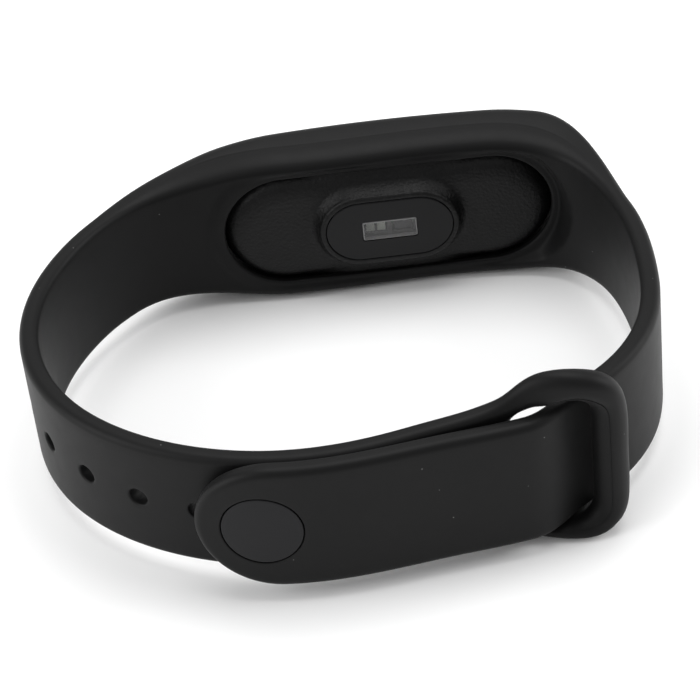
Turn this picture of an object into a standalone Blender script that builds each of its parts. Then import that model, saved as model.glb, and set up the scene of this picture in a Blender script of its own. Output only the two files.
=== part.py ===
"""Fitness tracker band: a silicone strap with a tuck-through keeper and stud, and the tracker it holds.

The band stands on its edge. X runs along the tracker, Y points from the wrist out through the
tracker's window, and Z runs across the strap. Every strap shape is drawn in band coordinates:
a distance along the inner face of the loop, a distance outwards from it, and a height.
"""

import math

import bmesh
import bpy
import numpy as np

MM = 0.001

# Clearances
GAP = 0.3 * MM  # between pieces that touch or seat on each other
FIT = 0.3 * MM  # round the tracker in its cradle
SLOT_FIT = 0.3 * MM  # each side of the strap in the keeper

# Tracker
TRACKER_LENGTH = 40.4 * MM
TRACKER_WIDTH = 16.0 * MM
SHELL_WALL = 1.1 * MM
FLOOR_THICKNESS = 1.2 * MM
SHELL_BACK = 0.3 * MM  # height of the back face above the inner face of the strap
PARTING = 5.0 * MM  # height of the joint between the shells
GASKET_THICKNESS = 0.4 * MM
GASKET_INSET = 0.35 * MM
FRONT_RIM = 8.6 * MM
FRONT_WALL = 0.8 * MM
WINDOW_THICKNESS = 1.2 * MM
WINDOW_ARCH = 0.5 * MM  # how far the middle of the window stands above its ends

# Sensor
PLATFORM_LENGTH = 16.8 * MM
PLATFORM_WIDTH = 9.8 * MM
PLATFORM_FLARE = 1.1 * MM  # how far its foot spreads on each side
PLATFORM_RISE = 1.7 * MM  # from the back face towards the wrist
LENS_LENGTH = 15.2 * MM
LENS_WIDTH = 8.2 * MM
LENS_THICKNESS = 0.6 * MM
SENSOR_WINDOW_LENGTH = 6.6 * MM
SENSOR_WINDOW_WIDTH = 2.7 * MM
SENSOR_WINDOW_THICKNESS = 0.5 * MM
BARRIER_RIM = 0.5 * MM
LED_SIZE = (1.0 * MM, 0.7 * MM, 1.4 * MM)
PHOTODIODE_SIZE = (2.2 * MM, 0.6 * MM, 1.8 * MM)
SENSOR_BOARD_THICKNESS = 0.5 * MM
SENSOR_BOARD_WIDTH = 8.6 * MM
SENSOR_BOARD_TO_MOTOR = 2.1 * MM

# Inside the tracker
BATTERY_WIDTH = 10.4 * MM
BATTERY_TO_MOTOR = 4.86 * MM
CARRIER_THICKNESS = 0.4 * MM
BOARD_THICKNESS = 0.6 * MM
BOARD_MARGIN = 0.7 * MM  # from the shells to the edge of the board and its carrier
DISPLAY_END_ROOM = 13.2 * MM  # from each end of the tracker, for the pieces beside the display
DISPLAY_THICKNESS = 0.9 * MM
DISPLAY_WIDTH = 9.0 * MM
DISPLAY_CLEARANCE = 0.4 * MM  # behind the window
MOTOR_DIAMETER = 7.6 * MM
MOTOR_MOST_HEIGHT = 2.4 * MM
MOTOR_WALL = 0.3 * MM
MOTOR_BASE_THICKNESS = 0.4 * MM
MOTOR_INSET = 1.9 * MM  # from the shell's wall, where its end is round
TOUCH_PAD_DIAMETER = 5.0 * MM
TOUCH_PAD_THICKNESS = 0.25 * MM
FLEX_SIZE = (2.0 * MM, 0.2 * MM, 5.0 * MM)
ANTENNA_SIZE = (1.4 * MM, 0.3 * MM, 7.0 * MM)
CHIP_HEIGHT = 0.6 * MM
CHIP_GAP = 1.2 * MM  # between the upper and the lower row of chips
CONTACT_DIAMETER = 1.6 * MM
CONTACT_THICKNESS = 0.4 * MM
CONTACT_SPACING = 6.0 * MM

# Strap
STRAP_THICKNESS = 2.2 * MM
STRAP_EDGE_RADIUS = 0.8 * MM
ARM_WIDTH = 15.2 * MM
ARM_FLARE = 0.7 * MM  # how far each edge of the hole arm spreads to meet the keeper
FLARE_LENGTH = 18.0 * MM
TAIL_WIDTH = 16.2 * MM
CRADLE_SIDE = 2.2 * MM  # strap above and below the tracker
CRADLE_OUTER_RADIUS = 2.4 * MM
CRADLE_FACE = 8.6 * MM  # outer face of the cradle at its middle
CRADLE_FACE_DROP = 1.4 * MM  # how far that face falls at the tracker's ends
CRADLE_END_WALL = 6.0 * MM  # strap beyond the tracker that belongs to the cradle
LEFT_SHOULDER = 15.0 * MM  # past the tracker, where the cradle's depth runs out
RIGHT_SHOULDER = 11.0 * MM
CRADLE_LIP = 0.9 * MM  # lip that the tracker's back rests against
LIP_OVERLAP = 0.5 * MM  # how far the lip covers the tracker's edge
RECESS_MARGIN = 1.6 * MM  # the shallow recess round the opening
RECESS_DEPTH = 0.4 * MM
LOOP_DEPTH = 48.2 * MM  # inner face at the tracker to inner face at the clasp

# Inner face of the loop, seen from above. Each point is a distance past the nearer end of the
# tracker along X, and the share of the loop's depth that it lies from the tracker.
RIGHT_LOBE = (
    (-8.2 * MM, -0.004),
    (0.0 * MM, 0.046),
    (5.1 * MM, 0.225),
    (6.3 * MM, 0.475),
    (4.3 * MM, 0.71),
    (-3.7 * MM, 0.897),
)
FRONT_SPAN = ((2.0 * MM, 0.967), (-13.0 * MM, 1.0))
LEFT_LOBE = (
    (6.8 * MM, 0.92),
    (17.2 * MM, 0.72),
    (20.5 * MM, 0.465),
    (16.8 * MM, 0.2),
    (8.2 * MM, 0.018),
    (-8.2 * MM, -0.004),
)

# Keeper and stud
KEEPER_AT = 65.7 * MM  # end bar, measured along the loop from the middle of the tracker
KEEPER_SLOT = 7.4 * MM  # clear length between the end bar and the arm
KEEPER_SPARE = 1.1 * MM  # height left in the slot above the strap, which lies on its lower rail
KEEPER_RAIL = 3.2 * MM  # upper rail
KEEPER_LOW_RAIL = 1.8 * MM
KEEPER_BAR = 3.0 * MM
KEEPER_BAR_DEPTH = 3.6 * MM
KEEPER_ROOM = 0.5 * MM  # between the bar and the strap that runs under it
KEEPER_LOW_CORNER = 4.4 * MM
KEEPER_HIGH_CORNER = 4.9 * MM
FLEX_AT = 2.6 * MM  # from the keeper's arm side to the line where the tail lifts
STUD_AT = 100.9 * MM
STUD_TO_TIP = 6.6 * MM
CAP_DIAMETER = 8.8 * MM
CAP_THICKNESS = 0.8 * MM
POST_DIAMETER = 2.2 * MM
HEAD_DIAMETER = 3.2 * MM
HEAD_THICKNESS = 0.9 * MM
HOLE_DIAMETER = 2.1 * MM
HOLE_PITCH = 6.8 * MM
FREE_HOLES = 5  # past the stud, towards the tracker
COVERED_HOLES = 3  # between the stud and the keeper

THROUGH = 6.0 * MM  # depth of a cutter that goes right through a thin piece

# Mesh fineness
ROUND_STEPS = 40
CORNER_STEPS = 3
STATION_STEP = 2.0 * MM

TRACKER_HALF = TRACKER_LENGTH / 2
CRADLE_WIDTH = TRACKER_WIDTH + 2 * CRADLE_SIDE
LAYER = STRAP_THICKNESS + GAP  # how far the tail lies outside the arm
CRADLE_REACH = TRACKER_HALF + CRADLE_END_WALL
BACK_LEVEL = SHELL_BACK + FLOOR_THICKNESS  # floor inside the rear shell
GASKET_BACK = PARTING + GAP
FRONT_SHELL_BACK = GASKET_BACK + GASKET_THICKNESS + GAP
WINDOW_BACK = FRONT_RIM - GAP
CAVITY_RADIUS = TRACKER_WIDTH / 2 - SHELL_WALL
MOTOR_X = -TRACKER_HALF + SHELL_WALL + MOTOR_INSET + MOTOR_DIAMETER / 2
MOTOR_RIGHT = MOTOR_X + MOTOR_DIAMETER / 2

# The stack inside the tracker, from the wrist side outwards. The battery takes what room is left.
BATTERY_BACK = BACK_LEVEL + 2 * GAP + SENSOR_BOARD_THICKNESS
DISPLAY_BACK = WINDOW_BACK - DISPLAY_CLEARANCE - DISPLAY_THICKNESS
BOARD_BACK = DISPLAY_BACK - GAP - BOARD_THICKNESS
CARRIER_BACK = BOARD_BACK - GAP - CARRIER_THICKNESS
BATTERY_THICKNESS = CARRIER_BACK - GAP - BATTERY_BACK
MOTOR_HEIGHT = min(MOTOR_MOST_HEIGHT, CARRIER_BACK - BACK_LEVEL - 2 * GAP)


def clear_scene():
    for item in list(bpy.data.objects):
        bpy.data.objects.remove(item, do_unlink=True)


def material(name, colour, roughness, metallic=0.0, transmission=0.0):
    made = bpy.data.materials.get(name) or bpy.data.materials.new(name)
    made.use_nodes = True
    shader = made.node_tree.nodes["Principled BSDF"]
    shader.inputs["Base Color"].default_value = (*colour, 1.0)
    shader.inputs["Roughness"].default_value = roughness
    shader.inputs["Metallic"].default_value = metallic
    shader.inputs["Transmission Weight"].default_value = transmission
    return made


def add_object(name, points, faces, finish=None):
    """An object from points and faces, its faces turned outwards."""
    mesh = bpy.data.meshes.new(name)
    mesh.from_pydata([tuple(point) for point in points], [], faces)
    shape = bmesh.new()
    shape.from_mesh(mesh)
    bmesh.ops.recalc_face_normals(shape, faces=shape.faces)
    shape.to_mesh(mesh)
    shape.free()
    mesh.shade_smooth()
    mesh.set_sharp_from_angle(angle=math.radians(35))
    item = bpy.data.objects.new(name, mesh)
    bpy.context.scene.collection.objects.link(item)
    if finish:
        mesh.materials.append(finish)
    return item


def cutter(item):
    item.hide_render = True
    item.display_type = "WIRE"
    return item


def boolean(item, other, operation):
    change = item.modifiers.new(other.name, "BOOLEAN")
    change.operation = operation
    change.solver = "EXACT"
    change.object = cutter(other)


def loft(name, rings, finish=None, closed=False):
    """Skins a list of rings that have the same number of points. Open lofts get end caps."""
    rings = np.asarray(rings, float)
    count, around = rings.shape[:2]
    faces = []
    for i in range(count if closed else count - 1):
        here = i * around
        there = (i + 1) % count * around
        for j in range(around):
            after = (j + 1) % around
            faces.append((here + j, here + after, there + after, there + j))
    if not closed:
        faces.append(tuple(range(around)))
        faces.append(tuple(range((count - 1) * around, count * around)))
    return add_object(name, rings.reshape(-1, 3), faces, finish)


def box(name, size, middle, finish=None):
    """A box by its size and the middle of its back face, which looks towards the wrist."""
    wide, deep, high = (value / 2 for value in size)
    corners = ((-wide, -high), (wide, -high), (wide, high), (-wide, high))
    rings = [
        [(middle[0] + x, middle[1] + y, middle[2] + z) for x, z in corners]
        for y in (0.0, 2 * deep)
    ]
    return loft(name, rings, finish)


def disc(name, diameter, thickness, middle, finish=None, steps=ROUND_STEPS):
    """A disc facing along Y, by the middle of its back face."""
    turns = np.linspace(0, 2 * math.pi, steps, endpoint=False)
    ring = diameter / 2 * np.column_stack([np.cos(turns), 0 * turns, np.sin(turns)])
    return loft(name, [ring + middle, ring + middle + (0, thickness, 0)], finish)


def stadium(length, width, level, arch=0.0):
    """A round-ended outline at a height along Y. With an arch, its middle stands above its ends."""
    radius = width / 2
    straight = length / 2 - radius
    turns = np.linspace(-math.pi / 2, math.pi / 2, ROUND_STEPS // 2)
    ends = np.column_stack([straight + radius * np.cos(turns), radius * np.sin(turns)])
    middle = np.linspace(straight, -straight, 6)[1:-1]
    upper = np.column_stack([middle, np.full(4, radius)])
    outline = np.vstack([ends, upper, -ends, -upper])
    height = level + arch * (1 - (2 * outline[:, 0] / length) ** 2)
    return np.column_stack([outline[:, 0], height, outline[:, 1]])


def case_outline(inset, level, arch=0.0):
    """The tracker's outline, drawn in by an inset."""
    return stadium(TRACKER_LENGTH - 2 * inset, TRACKER_WIDTH - 2 * inset, level, arch)


def end_reach(width):
    """How far along X a square-cornered piece of this width can reach inside the shells."""
    centre = TRACKER_HALF - TRACKER_WIDTH / 2
    return centre + math.sqrt((CAVITY_RADIUS - GAP) ** 2 - (width / 2) ** 2)


# The loop


def loop_points():
    points = [(TRACKER_HALF + x, -share * LOOP_DEPTH) for x, share in RIGHT_LOBE]
    points += [(x, -share * LOOP_DEPTH) for x, share in FRONT_SPAN]
    points += [(-TRACKER_HALF - x, -share * LOOP_DEPTH) for x, share in LEFT_LOBE]
    return np.array(points)


def closed_spline(points, steps):
    """A smooth closed curve through the points: cubic pieces whose slopes and bends match."""
    count = len(points)
    chords = np.linalg.norm(np.roll(points, -1, axis=0) - points, axis=1)
    before = np.roll(chords, 1)
    slopes = (np.roll(points, -1, axis=0) - points) / chords[:, None]
    system = np.zeros((count, count))
    for i in range(count):
        system[i, i - 1] = before[i]
        system[i, i] = 2 * (before[i] + chords[i])
        system[i, (i + 1) % count] = chords[i]
    bends = np.linalg.solve(system, 6 * (slopes - np.roll(slopes, 1, axis=0)))
    made = []
    for i in range(count):
        span = chords[i]
        here, there = points[i], points[(i + 1) % count]
        bend, next_bend = bends[i], bends[(i + 1) % count]
        along = np.linspace(0, span, steps, endpoint=False)[:, None]
        left = span - along
        made.append(
            (bend * left**3 + next_bend * along**3) / (6 * span)
            + (here / span - bend * span / 6) * left
            + (there / span - next_bend * span / 6) * along
        )
    return np.vstack(made)


class Loop:
    """The inner face of the band from above, by distance from the middle of the tracker."""

    def __init__(self):
        curve = closed_spline(loop_points(), 60)
        nearest = np.argmin(np.abs(curve[:, 0]) + (curve[:, 1] < -LOOP_DEPTH / 2))
        curve = np.roll(curve, -nearest, axis=0)
        curve = np.vstack([curve, curve[:1]])
        steps = np.linalg.norm(np.diff(curve, axis=0), axis=1)
        self.curve = curve
        self.reach = np.concatenate([[0], np.cumsum(steps)])
        self.length = self.reach[-1]
        heading = np.gradient(curve, axis=0)
        heading[0] = heading[-1] = curve[1] - curve[-2]
        heading /= np.linalg.norm(heading, axis=1)[:, None]
        self.outward = np.column_stack([-heading[:, 1], heading[:, 0]])

    def at(self, along, out=0.0):
        """Plan position of a point: distance along the loop and distance outwards."""
        along = np.mod(along, self.length)
        point = [np.interp(along, self.reach, self.curve[:, i]) for i in (0, 1)]
        facing = self.facing(along)
        return np.column_stack(point) + np.reshape(out, (-1, 1)) * facing

    def facing(self, along):
        along = np.mod(along, self.length)
        facing = [np.interp(along, self.reach, self.outward[:, i]) for i in (0, 1)]
        facing = np.column_stack(facing)
        return facing / np.linalg.norm(facing, axis=1)[:, None]


LOOP = Loop()
ARM_END = KEEPER_AT + KEEPER_BAR / 2 + KEEPER_SLOT  # where the keeper meets the arm
FLEX_LINE = ARM_END + STRAP_THICKNESS + FLEX_AT
TIP = STUD_AT + STUD_TO_TIP


def ease(value, start, end):
    """0 before start, 1 after end, and a smooth step between."""
    share = np.clip((np.asarray(value, float) - start) / (end - start), 0, 1)
    return share * share * (3 - 2 * share)


def section(inner, outer, half_height, inner_radius, outer_radius):
    """A rounded rectangle between a point on the inner face and one on the outer face."""
    inner = np.asarray(inner)
    outer = np.asarray(outer)
    depth = np.linalg.norm(outer - inner)
    across = (outer - inner) / depth
    inner_radius = min(inner_radius, half_height * 0.98, depth * 0.49)
    outer_radius = min(outer_radius, half_height * 0.98, depth * 0.49)
    ring = []
    corners = (
        (inner_radius, -1, inner_radius, math.pi),
        (depth - outer_radius, -1, outer_radius, 1.5 * math.pi),
        (depth - outer_radius, 1, outer_radius, 0.0),
        (inner_radius, 1, inner_radius, 0.5 * math.pi),
    )
    for out, side, radius, start in corners:
        for turn in np.linspace(start, start + math.pi / 2, CORNER_STEPS + 1):
            reach = out + radius * math.cos(turn)
            height = side * (half_height - radius) + radius * math.sin(turn)
            ring.append((*(inner + reach * across), height))
    return ring


def half_height_at(along):
    """Half the strap's width: widest round the tracker and narrower along the arms."""
    share = ease(abs(along), TRACKER_HALF - 8 * MM, TRACKER_HALF + 12 * MM)
    return CRADLE_WIDTH / 2 + (ARM_WIDTH - CRADLE_WIDTH) / 2 * share


def outer_face_at(along):
    """The outer face near the tracker, blended into the even thickness of the arms."""
    inner = LOOP.at(along)[0]
    arm = LOOP.at(along, STRAP_THICKNESS)[0]
    drop = CRADLE_FACE_DROP * (inner[0] / TRACKER_HALF) ** 2
    cradle = np.array([inner[0] * 1.05, CRADLE_FACE - drop])
    shoulder = RIGHT_SHOULDER if along > 0 else LEFT_SHOULDER
    share = ease(abs(along), TRACKER_HALF - 2 * MM, TRACKER_HALF + shoulder)
    return cradle + (arm - cradle) * share


def strap_ring(along, flare=0.0):
    """The strap's section on either side of the tracker. Left of it, along is negative."""
    bulge = 1 - ease(abs(along), TRACKER_HALF - 2 * MM, TRACKER_HALF + 14 * MM)
    outer_radius = STRAP_EDGE_RADIUS + (CRADLE_OUTER_RADIUS - STRAP_EDGE_RADIUS) * bulge
    return section(
        LOOP.at(along)[0],
        outer_face_at(along),
        half_height_at(along) + flare,
        STRAP_EDGE_RADIUS,
        outer_radius,
    )


def stations(start, end):
    count = max(2, round(abs(end - start) / STATION_STEP) + 1)
    return np.linspace(start, end, count)


# The strap


def make_cradle(rubber):
    """The thick middle of the strap, less the tracker's opening, its seat and a shallow recess."""
    rings = [strap_ring(along) for along in stations(-CRADLE_REACH, CRADLE_REACH)]
    cradle = loft("strap_cradle", rings, rubber)
    wrist_side = -CRADLE_FACE
    front = 2 * CRADLE_FACE
    cuts = (
        ("tracker_opening", LIP_OVERLAP, wrist_side, front),
        ("tracker_seat", -FIT, RECESS_DEPTH + CRADLE_LIP, front),
        ("opening_recess", -RECESS_MARGIN, wrist_side, RECESS_DEPTH),
    )
    for name, inset, start, end in cuts:
        tool = loft(name, [case_outline(inset, start), case_outline(inset, end)])
        boolean(cradle, tool, "DIFFERENCE")


def hole_cutter(name, along, diameter, travel_before, travel_after):
    """A hole through the arm, stretched along it by the two travels."""
    turns = np.linspace(0, 2 * math.pi, 20, endpoint=False)
    side = np.cos(turns) * diameter / 2
    side = side + np.where(side > 0, travel_after, -travel_before)
    height = np.sin(turns) * diameter / 2
    facing = LOOP.facing(along)[0]
    forward = np.array([facing[1], -facing[0]])
    middle = LOOP.at(along)[0]
    rings = []
    for out in (-2 * STRAP_THICKNESS, 2 * STRAP_THICKNESS):
        plan = middle + out * facing + side[:, None] * forward
        rings.append(np.column_stack([plan, height]))
    return loft(name, rings)


def stud_drift():
    """How far the stud's head moves along the arm while the lifting tail draws it out."""
    hinge = LOOP.at(FLEX_LINE, LAYER + STRAP_THICKNESS)[0]
    facing = LOOP.facing(STUD_AT)[0]
    forward = np.array([facing[1], -facing[0]])
    reach = LOOP.at(STUD_AT)[0] - hinge
    drawn = HEAD_THICKNESS + GAP + STRAP_THICKNESS
    return -drawn * (reach @ facing) / (reach @ forward)


def make_hole_arm(rubber):
    """The left arm, from the cradle round to the keeper, with its row of holes."""
    start = ARM_END + STRAP_THICKNESS + GAP
    end = LOOP.length - CRADLE_REACH - GAP
    rings = []
    for along in stations(start, end):
        flare = ARM_FLARE * (1 - ease(along, start, start + FLARE_LENGTH))
        rings.append(strap_ring(along - LOOP.length, flare))
    arm = loft("hole_arm", rings, rubber)
    numbers = [n for n in range(-COVERED_HOLES, FREE_HOLES + 1) if n != 0]
    for number in numbers:
        place = STUD_AT + number * HOLE_PITCH
        boolean(arm, hole_cutter(f"hole_{number}", place, HOLE_DIAMETER, 0, 0), "DIFFERENCE")
    drift = stud_drift()
    stud_hole = hole_cutter(
        "stud_hole", STUD_AT, HEAD_DIAMETER + 2 * GAP, max(0, -drift), max(0, drift)
    )
    boolean(arm, stud_hole, "DIFFERENCE")


def keeper_path():
    """The keeper's centre line, as (along, height, direction the ring faces, rail thickness)."""
    slot_half = TAIL_WIDTH / 2 + SLOT_FIT
    low = -slot_half - KEEPER_LOW_RAIL / 2
    high = slot_half + KEEPER_SPARE + KEEPER_RAIL / 2
    first = KEEPER_AT
    last = ARM_END + STRAP_THICKNESS / 2
    big = KEEPER_HIGH_CORNER
    small = KEEPER_LOW_CORNER
    corners = (
        (last - big, high - big, 0.0, KEEPER_RAIL, big),
        (first + big, high - big, 0.5 * math.pi, KEEPER_RAIL, big),
        (first + small, low + small, math.pi, KEEPER_LOW_RAIL, small),
        (last - small, low + small, 1.5 * math.pi, KEEPER_LOW_RAIL, small),
    )
    path = []
    for along, height, start, rail, corner in corners:
        for turn in np.linspace(start, start + math.pi / 2, 9):
            side = along + corner * math.cos(turn)
            rise = height + corner * math.sin(turn)
            path.append((side, rise, turn, rail))
    return path


def make_keeper(rubber):
    """The moulded ring on the arm's end. Its far bar lies outside the strap that runs under it."""
    bar_out = STRAP_THICKNESS + KEEPER_ROOM + KEEPER_BAR_DEPTH / 2
    rings = []
    for along, height, turn, rail in keeper_path():
        raised = 1 - ease(along, KEEPER_AT, ARM_END)
        out = STRAP_THICKNESS / 2 + (bar_out - STRAP_THICKNESS / 2) * raised
        depth = STRAP_THICKNESS / 2 + (KEEPER_BAR_DEPTH - STRAP_THICKNESS) / 2 * raised
        bar = (KEEPER_BAR if raised > 0.5 else STRAP_THICKNESS) / 2
        width = rail / 2 + (bar - rail / 2) * abs(math.cos(turn)) ** 2
        ring = []
        for angle in np.linspace(0, 2 * math.pi, 12, endpoint=False):
            side = width * math.cos(angle)
            place = LOOP.at(along + side * math.cos(turn), out + depth * math.sin(angle))[0]
            ring.append((*place, height + side * math.sin(turn)))
        rings.append(ring)
    loft("keeper_ring", rings, rubber, closed=True)


def layer_at(along):
    """How far the stud arm lies outside the loop: it climbs onto the other arm in the keeper."""
    return LAYER * ease(along, KEEPER_AT + 0.5 * MM, KEEPER_AT + KEEPER_SLOT + 0.5 * MM)


def stud_arm_half_height(along):
    """Half the stud arm's width. It meets the tail's width well before the keeper."""
    widening = ease(along, TRACKER_HALF + 12 * MM, KEEPER_AT - 8 * MM)
    return half_height_at(along) + (TAIL_WIDTH - ARM_WIDTH) / 2 * widening


def layered_ring(along, half_height):
    out = layer_at(along)
    return section(
        LOOP.at(along, out)[0],
        LOOP.at(along, out + STRAP_THICKNESS)[0],
        half_height,
        STRAP_EDGE_RADIUS,
        STRAP_EDGE_RADIUS,
    )


def make_stud_arm(rubber):
    """The right arm, from the cradle through the keeper to the line where the tail lifts."""
    rings = []
    for along in stations(CRADLE_REACH + GAP, FLEX_LINE - GAP / 2):
        if along < TRACKER_HALF + 20 * MM:
            rings.append(strap_ring(along))
        else:
            rings.append(layered_ring(along, stud_arm_half_height(along)))
    loft("stud_arm", rings, rubber)


def tail_rings():
    """Sections of the tail, with a round end."""
    half = TAIL_WIDTH / 2
    straight = stations(FLEX_LINE + GAP / 2, TIP - half)
    rings = [layered_ring(along, half) for along in straight]
    for turn in np.radians((15, 30, 45, 58, 69, 78, 85)):
        along = TIP - half + half * math.sin(turn)
        rings.append(layered_ring(along, half * math.cos(turn)))
    return rings


def stud_frame():
    """Plan position on the tail's inner face at the stud, and the way out from it."""
    return LOOP.at(STUD_AT, LAYER)[0], LOOP.facing(STUD_AT)[0]


def turned_along_stud(name, profile, finish=None, steps=ROUND_STEPS):
    """A turned piece on the stud's axis, from (distance out from the tail's inner face, radius)."""
    middle, facing = stud_frame()
    forward = np.array([facing[1], -facing[0]])
    rings = []
    for out, radius in profile:
        ring = []
        for turn in np.linspace(0, 2 * math.pi, steps, endpoint=False):
            place = middle + out * facing + radius * math.cos(turn) * forward
            ring.append((*place, radius * math.sin(turn)))
        rings.append(ring)
    return loft(name, rings, finish)


def make_tail(rubber):
    tail = loft("stud_tail", tail_rings(), rubber)
    pocket_floor = STRAP_THICKNESS - CAP_THICKNESS - GAP
    pocket_radius = CAP_DIAMETER / 2 + 0.1 * MM
    pocket = [(pocket_floor, pocket_radius), (2 * STRAP_THICKNESS, pocket_radius)]
    boolean(tail, turned_along_stud("cap_pocket", pocket), "DIFFERENCE")
    bore_radius = POST_DIAMETER / 2 + GAP
    bore = [(-STRAP_THICKNESS, bore_radius), (STRAP_THICKNESS, bore_radius)]
    boolean(tail, turned_along_stud("post_bore", bore, steps=20), "DIFFERENCE")


def make_stud(steel, cap_finish):
    """The cap that shows, and the post with its mushroom head, riveted together."""
    face = STRAP_THICKNESS
    cap = CAP_DIAMETER / 2
    edge = 0.15 * MM
    profile = (
        (face - CAP_THICKNESS, cap - edge),
        (face - CAP_THICKNESS + edge, cap),
        (face - edge, cap),
        (face, cap - edge),
    )
    turned_along_stud("stud_cap", profile, cap_finish)
    post = POST_DIAMETER / 2
    head = HEAD_DIAMETER / 2
    shoulder = -LAYER - GAP  # the head's flat side, just inside the arm
    crown = shoulder - HEAD_THICKNESS
    profile = (
        (crown, head * 0.55),
        (crown + 0.25 * MM, head * 0.88),
        (shoulder - 0.2 * MM, head),
        (shoulder, head * 0.94),
        (shoulder, post),
        (face - CAP_THICKNESS - GAP, post),
    )
    turned_along_stud("stud_post", profile, steel, steps=24)


# The tracker


def make_rear_shell(plastic):
    """A round-ended cup with a soft back edge, and the raised sensor platform on its back."""
    back = SHELL_BACK
    outside = (
        (4.6 * MM, back),
        (2.6 * MM, back + 0.12 * MM),
        (1.5 * MM, back + 0.5 * MM),
        (0.95 * MM, back + 1.0 * MM),
        (0.45 * MM, back + 1.55 * MM),
        (0.12 * MM, back + 2.3 * MM),
        (0.0, back + 3.2 * MM),
        (0.0, PARTING),
    )
    rings = [case_outline(inset, level) for inset, level in outside]
    rings.append(case_outline(SHELL_WALL, PARTING))
    rings.append(case_outline(SHELL_WALL, BACK_LEVEL + 1.0 * MM))
    rings.append(case_outline(SHELL_WALL + 1.0 * MM, BACK_LEVEL))
    shell = loft("rear_shell", rings, plastic)
    top = SHELL_BACK - PLATFORM_RISE
    flare = PLATFORM_FLARE
    foot_length = PLATFORM_LENGTH + 2 * flare
    foot_width = PLATFORM_WIDTH + 2 * flare
    platform = loft(
        "platform_body",
        [
            stadium(PLATFORM_LENGTH - 0.5 * MM, PLATFORM_WIDTH - 0.5 * MM, top),
            stadium(PLATFORM_LENGTH, PLATFORM_WIDTH, top + 0.2 * MM),
            stadium(PLATFORM_LENGTH + 0.8 * flare, PLATFORM_WIDTH + 0.8 * flare, top + 1.0 * MM),
            stadium(foot_length, foot_width, SHELL_BACK + 0.05 * MM),
            stadium(foot_length, foot_width, BACK_LEVEL - 0.4 * MM),
        ],
    )
    boolean(shell, platform, "UNION")
    pocket_length = LENS_LENGTH + 2 * GAP
    pocket_width = LENS_WIDTH + 2 * GAP
    lens_pocket = loft(
        "lens_pocket",
        [
            stadium(pocket_length, pocket_width, top - 1.0 * MM),
            stadium(pocket_length, pocket_width, top + LENS_THICKNESS + GAP),
        ],
    )
    boolean(shell, lens_pocket, "DIFFERENCE")
    length, _, width = barrier_size()
    light_well = box("light_well", (length + 2 * GAP, THROUGH, width + 2 * GAP), (0, top, 0))
    boolean(shell, light_well, "DIFFERENCE")
    for name, z in contact_places():
        pocket = contact_disc(f"{name}_pocket", z, CONTACT_DIAMETER + 2 * GAP, 1)
        boolean(shell, pocket, "DIFFERENCE")


def barrier_size():
    """The light barrier behind the sensor window."""
    depth = BACK_LEVEL - (SHELL_BACK - PLATFORM_RISE) - LENS_THICKNESS - 2 * GAP
    length = SENSOR_WINDOW_LENGTH + 2 * BARRIER_RIM
    width = SENSOR_WINDOW_WIDTH + 2 * BARRIER_RIM
    return (length, depth, width)


def make_sensor(gloss, clear, black, green, silicon, board_green):
    lens_back = SHELL_BACK - PLATFORM_RISE + 0.05 * MM
    lens = loft(
        "sensor_lens",
        [
            stadium(LENS_LENGTH, LENS_WIDTH, lens_back),
            stadium(LENS_LENGTH, LENS_WIDTH, lens_back + LENS_THICKNESS),
        ],
        gloss,
    )
    hole = (SENSOR_WINDOW_LENGTH + 2 * GAP, THROUGH, SENSOR_WINDOW_WIDTH + 2 * GAP)
    start = lens_back - THROUGH / 2
    boolean(lens, box("sensor_window_hole", hole, (0, start, 0)), "DIFFERENCE")
    window = (SENSOR_WINDOW_LENGTH, SENSOR_WINDOW_THICKNESS, SENSOR_WINDOW_WIDTH)
    box("sensor_window", window, (0, lens_back, 0), clear)

    size = barrier_size()
    barrier_back = lens_back + LENS_THICKNESS + GAP
    barrier = box("light_barrier", size, (0, barrier_back, 0), black)
    led_cell = (2 * LED_SIZE[0] + 3 * GAP, THROUGH, LED_SIZE[2] + 2 * GAP)
    diode_cell = (PHOTODIODE_SIZE[0] + 2 * GAP, THROUGH, PHOTODIODE_SIZE[2] + 2 * GAP)
    led_x = -SENSOR_WINDOW_LENGTH / 4
    diode_x = SENSOR_WINDOW_LENGTH / 4
    start = barrier_back - THROUGH / 4
    boolean(barrier, box("led_cell", led_cell, (led_x, start, 0)), "DIFFERENCE")
    boolean(barrier, box("diode_cell", diode_cell, (diode_x, start, 0)), "DIFFERENCE")
    top = barrier_back + size[1]
    for name, side in (("green_led_left", -1), ("green_led_right", 1)):
        x = led_x + side * (LED_SIZE[0] + GAP) / 2
        box(name, LED_SIZE, (x, top - LED_SIZE[1], 0), green)
    box("photodiode", PHOTODIODE_SIZE, (diode_x, top - PHOTODIODE_SIZE[1], 0), silicon)
    board_length = -2 * (MOTOR_RIGHT + SENSOR_BOARD_TO_MOTOR)
    size = (board_length, SENSOR_BOARD_THICKNESS, SENSOR_BOARD_WIDTH)
    box("sensor_board", size, (0, BACK_LEVEL + GAP, 0), board_green)


def contact_places():
    return (
        ("charge_contact_upper", CONTACT_SPACING / 2),
        ("charge_contact_lower", -CONTACT_SPACING / 2),
    )


def contact_disc(name, z, diameter, deeper, finish=None):
    """A disc on the tracker's left end, set into it. A pocket is deeper by one clearance."""
    radius = TRACKER_WIDTH / 2
    end = -TRACKER_HALF + radius - math.sqrt(radius**2 - (abs(z) + diameter / 2) ** 2)
    depth = CONTACT_THICKNESS + deeper * GAP
    turns = np.linspace(0, 2 * math.pi, 20, endpoint=False)
    level = PARTING - 1.5 * MM
    ring = np.column_stack(
        [0 * turns, level + diameter / 2 * np.cos(turns), z + diameter / 2 * np.sin(turns)]
    )
    outer = end - deeper * 2 * MM
    return loft(name, [ring + (outer, 0, 0), ring + (end + depth, 0, 0)], finish)


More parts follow.
